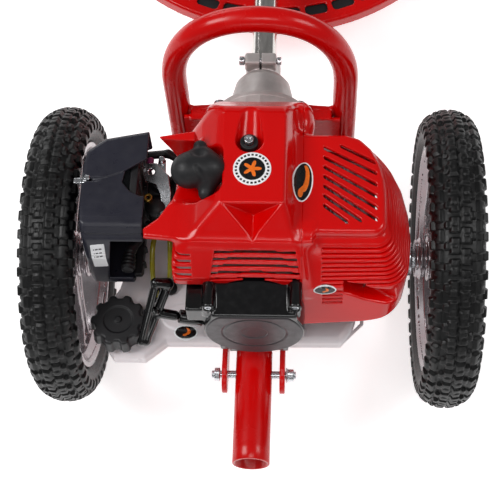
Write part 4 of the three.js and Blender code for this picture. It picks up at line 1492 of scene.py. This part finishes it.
def guard_field(p):
    x, y, z = p
    u = x - GUARD_SHIFT
    r = length(u, y)
    turn = np.arctan2(u, -y)
    sheet = outline(r, z, GUARD_EDGE) - 0.25
    wedge = (np.abs(turn) - math.radians(100)) * r
    pitch = math.radians(8)
    near = (np.mod(turn, pitch) - pitch / 2) * r
    span = (np.abs(turn) - pitch * 12) * r
    corner = length(np.maximum(np.abs(r - 218) - 2, 0), np.maximum(np.abs(near) - 8.2, 0)) - 4.2
    windows = both(corner, span, 118 - z)
    holes = either(*[drum(p, (*at, 134), 2, 3.2, 12) for at in GUARD_BOLTS])
    return without(both(sheet, wedge, soft=1), windows, holes, soft=0.7)


def guard_skirt_field(p):
    x, y, z = p
    u = x - GUARD_SHIFT
    r = length(u, y)
    wedge = (np.abs(np.arctan2(u, -y)) - math.radians(98)) * r
    ring = both(np.abs(r - 211.5) - 21, between(z, 127.4, 130.6), soft=0.8)
    return both(ring, wedge)


def guard_bracket_field(p):
    start = Vector((0, 0, HEAD_Z)) + TO_BOOM * 84
    clamp = rod(p, start - TO_BOOM * 13, start + TO_BOOM * 13, 18.6)
    foot = box(p, (-25, -97, 134.6), (25, -66, 139.5), 2)
    web = box(p, (-14, -94, 136), (14, -70, 160), 3)
    bolts = either(*[hex_field(p, (*at, 141.5), 2, 6.2, 2.6) for at in GUARD_BOLTS])
    bore = rod(p, start - TO_BOOM * 40, start + TO_BOOM * 40, 13.3)
    return either(without(either(clamp, foot, web, soft=3), bore, soft=0.5), bolts, soft=0.3)


def gear_and_guard():
    build(
        "cast_gear_head", head_field, (-42, -90, 128), (42, 42, 194), 1.0, "aluminium",
        "gear_head", place=TOOL
    )
    build(
        "pressed_guard", guard_field, (-232, -240, 114), (248, 52, 142), 1.25, "red_paint",
        "tool_guard", place=TOOL
    )
    build(
        "guard_lining", guard_skirt_field, (-230, -238, 125), (244, 40, 133), 1.4, "rubber",
        "guard_skirt", place=TOOL
    )
    build(
        "guard_clamp", guard_bracket_field, (-30, -112, 126), (30, -58, 194), 0.9, "silver_paint",
        "guard_bracket", place=TOOL
    )


gear_and_guard()


# ---------------------------------------------------------------- stickers and small parts
def star(u, v, petals, inner, outer):
    """A rosette: a plain ornament in place of a printed mark."""
    r, turn = length(u, v), np.arctan2(v, u)
    return r - (inner + (outer - inner) * (0.5 + 0.5 * np.cos(petals * turn)))


def dashes(u, v, radius, half_width, count):
    r, turn = length(u, v), np.arctan2(v, u)
    gap = np.abs(np.mod(turn, 2 * math.pi / count) - math.pi / count) * radius - radius * 1.9 / count
    return both(np.abs(r - radius) - half_width, gap)


def swoosh(u, v):
    """Two crossing leaves, the generic ornament on the oval stickers."""
    leaf = length(u - 0.12, v * 0.55 - 0.1) - 0.42
    bite = length(u + 0.22, v * 0.6 - 0.2) - 0.40
    tail = length(u + 0.12, v * 0.8 + 0.5) - 0.22
    return either(without(leaf, bite), tail)


# A print is a thin solid; each layer lies a little higher on the surface below it.
PRINT_HALF = 0.22
FIRST, SECOND, THIRD = 0.12, 0.34, 0.56
BADGE = (2.3, -9.4)


def sticker(name, flat, surface, lift, low, high, look, cell=0.4):
    def field(p):
        return both(flat(p), np.abs(surface(p) - lift) - PRINT_HALF)

    return build(name, field, low, high, cell, look)


def round_sticker():
    cx, cy = BADGE
    low, high = (cx - 18, cy - 18, 187.5), (cx + 18, cy + 18, 192.5)
    uv = lambda p: (p[0] - cx, p[1] - cy)
    for part, flat, lift, look, cell in (
        ("ring", lambda p: length(*uv(p)) - 17, FIRST, "white_label", 0.4),
        ("disc", lambda p: length(*uv(p)) - 11.6, SECOND, "black_label", 0.4),
        ("dashes", lambda p: dashes(*uv(p), 14.4, 1.0, 26), SECOND, "black_label", 0.33),
        ("rosette", lambda p: star(*uv(p), 5, 3.0, 8.6), THIRD, "orange_label", 0.33),
    ):
        sticker(f"badge_{part}", flat, dome_body, lift, low, high, look, cell)


def oval_sticker(tag, uv, size, surface, low, high):
    a, b = size
    scale = min(a, b) * 1.15
    oval = lambda p, grow: (length(uv(p)[0] / (a + grow), uv(p)[1] / (b + grow)) - 1) * a
    mark = lambda p: swoosh(uv(p)[0] / scale, uv(p)[1] / scale * a / b * 1.3) * scale
    sticker(f"{tag}_rim", lambda p: oval(p, 0), surface, FIRST, low, high, "white_label")
    sticker(f"{tag}_face", lambda p: oval(p, -1.3), surface, SECOND, low, high, "black_label")
    sticker(f"{tag}_mark", mark, surface, THIRD, low, high, "orange_label", 0.35)


def label(p):
    return both(np.abs(p[0] + 140) - 6.6, np.abs(p[2] - 113 - 0.12 * (p[0] + 140)) - 17, soft=1)


def label_print(p):
    rows = np.abs(np.mod(p[2] - 0.18 * p[0], 4.6) - 2.3) - 0.7
    bars = np.abs(np.mod(p[0], 3.4) - 1.7) - 1.3
    return both(label(p) + 2.4, rows, bars, 112 - p[2])


def stickers():
    round_sticker()
    whole = lambda p: either(dome_body(p), chest_body(p), soft=7)
    chest = lambda p: whole(p) - 0.3
    side_uv = lambda p: (p[0] - 47 - 0.06 * (p[1] + 8.5), p[1] + 8.5)
    chest_uv = lambda p: (p[0] - 68, p[2] - 109.5)
    tank_uv = lambda p: (p[0] + 64, p[1] + 100)
    oval_sticker("side_badge", side_uv, (9.3, 20.5), whole, (35, -32, 145), (60, 15, 185))
    oval_sticker("chest_badge", chest_uv, (10.5, 6.0), chest, (56, -112, 100), (80, -70, 120))
    oval_sticker("tank_badge", tank_uv, (11.5, 7.5), tank_field, (-78, -110, 30), (-50, -90, 37))
    low, high = (-150, -68, 92), (-128, -50, 136)
    sticker("cover_label", label, filter_cover_body, FIRST, low, high, "white_label")
    printed = ("cover_label_print", label_print, filter_cover_body, SECOND)
    sticker(*printed, low, high, "black_label", 0.35)


SCREW = (-1.5, 21)


def grommet_field(p):
    ring = drum(p, (*SCREW, 182), 2, 8.2, 3.4, 1.2)
    return both(ring, 4.6 - length(p[0] - SCREW[0], p[1] - SCREW[1]))


def lead_field(p):
    return rod(p, (-39, -27, 175), (-34, -34, 158), 3.2)


def small_parts():
    socket_screw("cover_screw", (*SCREW, 187.5), "top", 4.2)
    build("cover_screw_grommet", grommet_field, (-12, 11, 176), (9, 31, 188), 0.5, "rubber")
    build("spark_lead", lead_field, (-46, -42, 150), (-28, -20, 182), 0.6, "rubber")


stickers()
small_parts()


# ---------------------------------------------------------------- what stays from the CAD
NODE_FINISH = {
    "crankcase": "aluminium",
    "cylinder_barrel": "aluminium",
    "fan_housing": "aluminium",
    "rope_pulley": "grey_plastic",
    "rotor_hub": "dark_steel",
    "clutch_drum": "dark_steel",
    "clutch_shoes": "dark_steel",
    "drive_shaft": "dark_steel",
}
EDGE_WIDTH = {"tine": 1.0, "rotor": 0.8, "crankcase": 1.5, "fan_housing": 1.2, "cylinder": 0.6, "axle": 0.8}


def carried_over():
    replaced = {name for piece in bpy.data.objects for name in piece.get("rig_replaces", [])}
    for name, node in frame["nodes"].items():
        if name in replaced:
            continue
        default = "dark_steel" if name.startswith("tine") else "steel"
        if "rope" in name:
            default = "rubber"
        node.data.materials.clear()
        node.data.materials.append(FINISHES[NODE_FINISH.get(name, default)])
        width = next((w for key, w in EDGE_WIDTH.items() if name.startswith(key)), 0.4)
        soften(node, width)


carried_over()
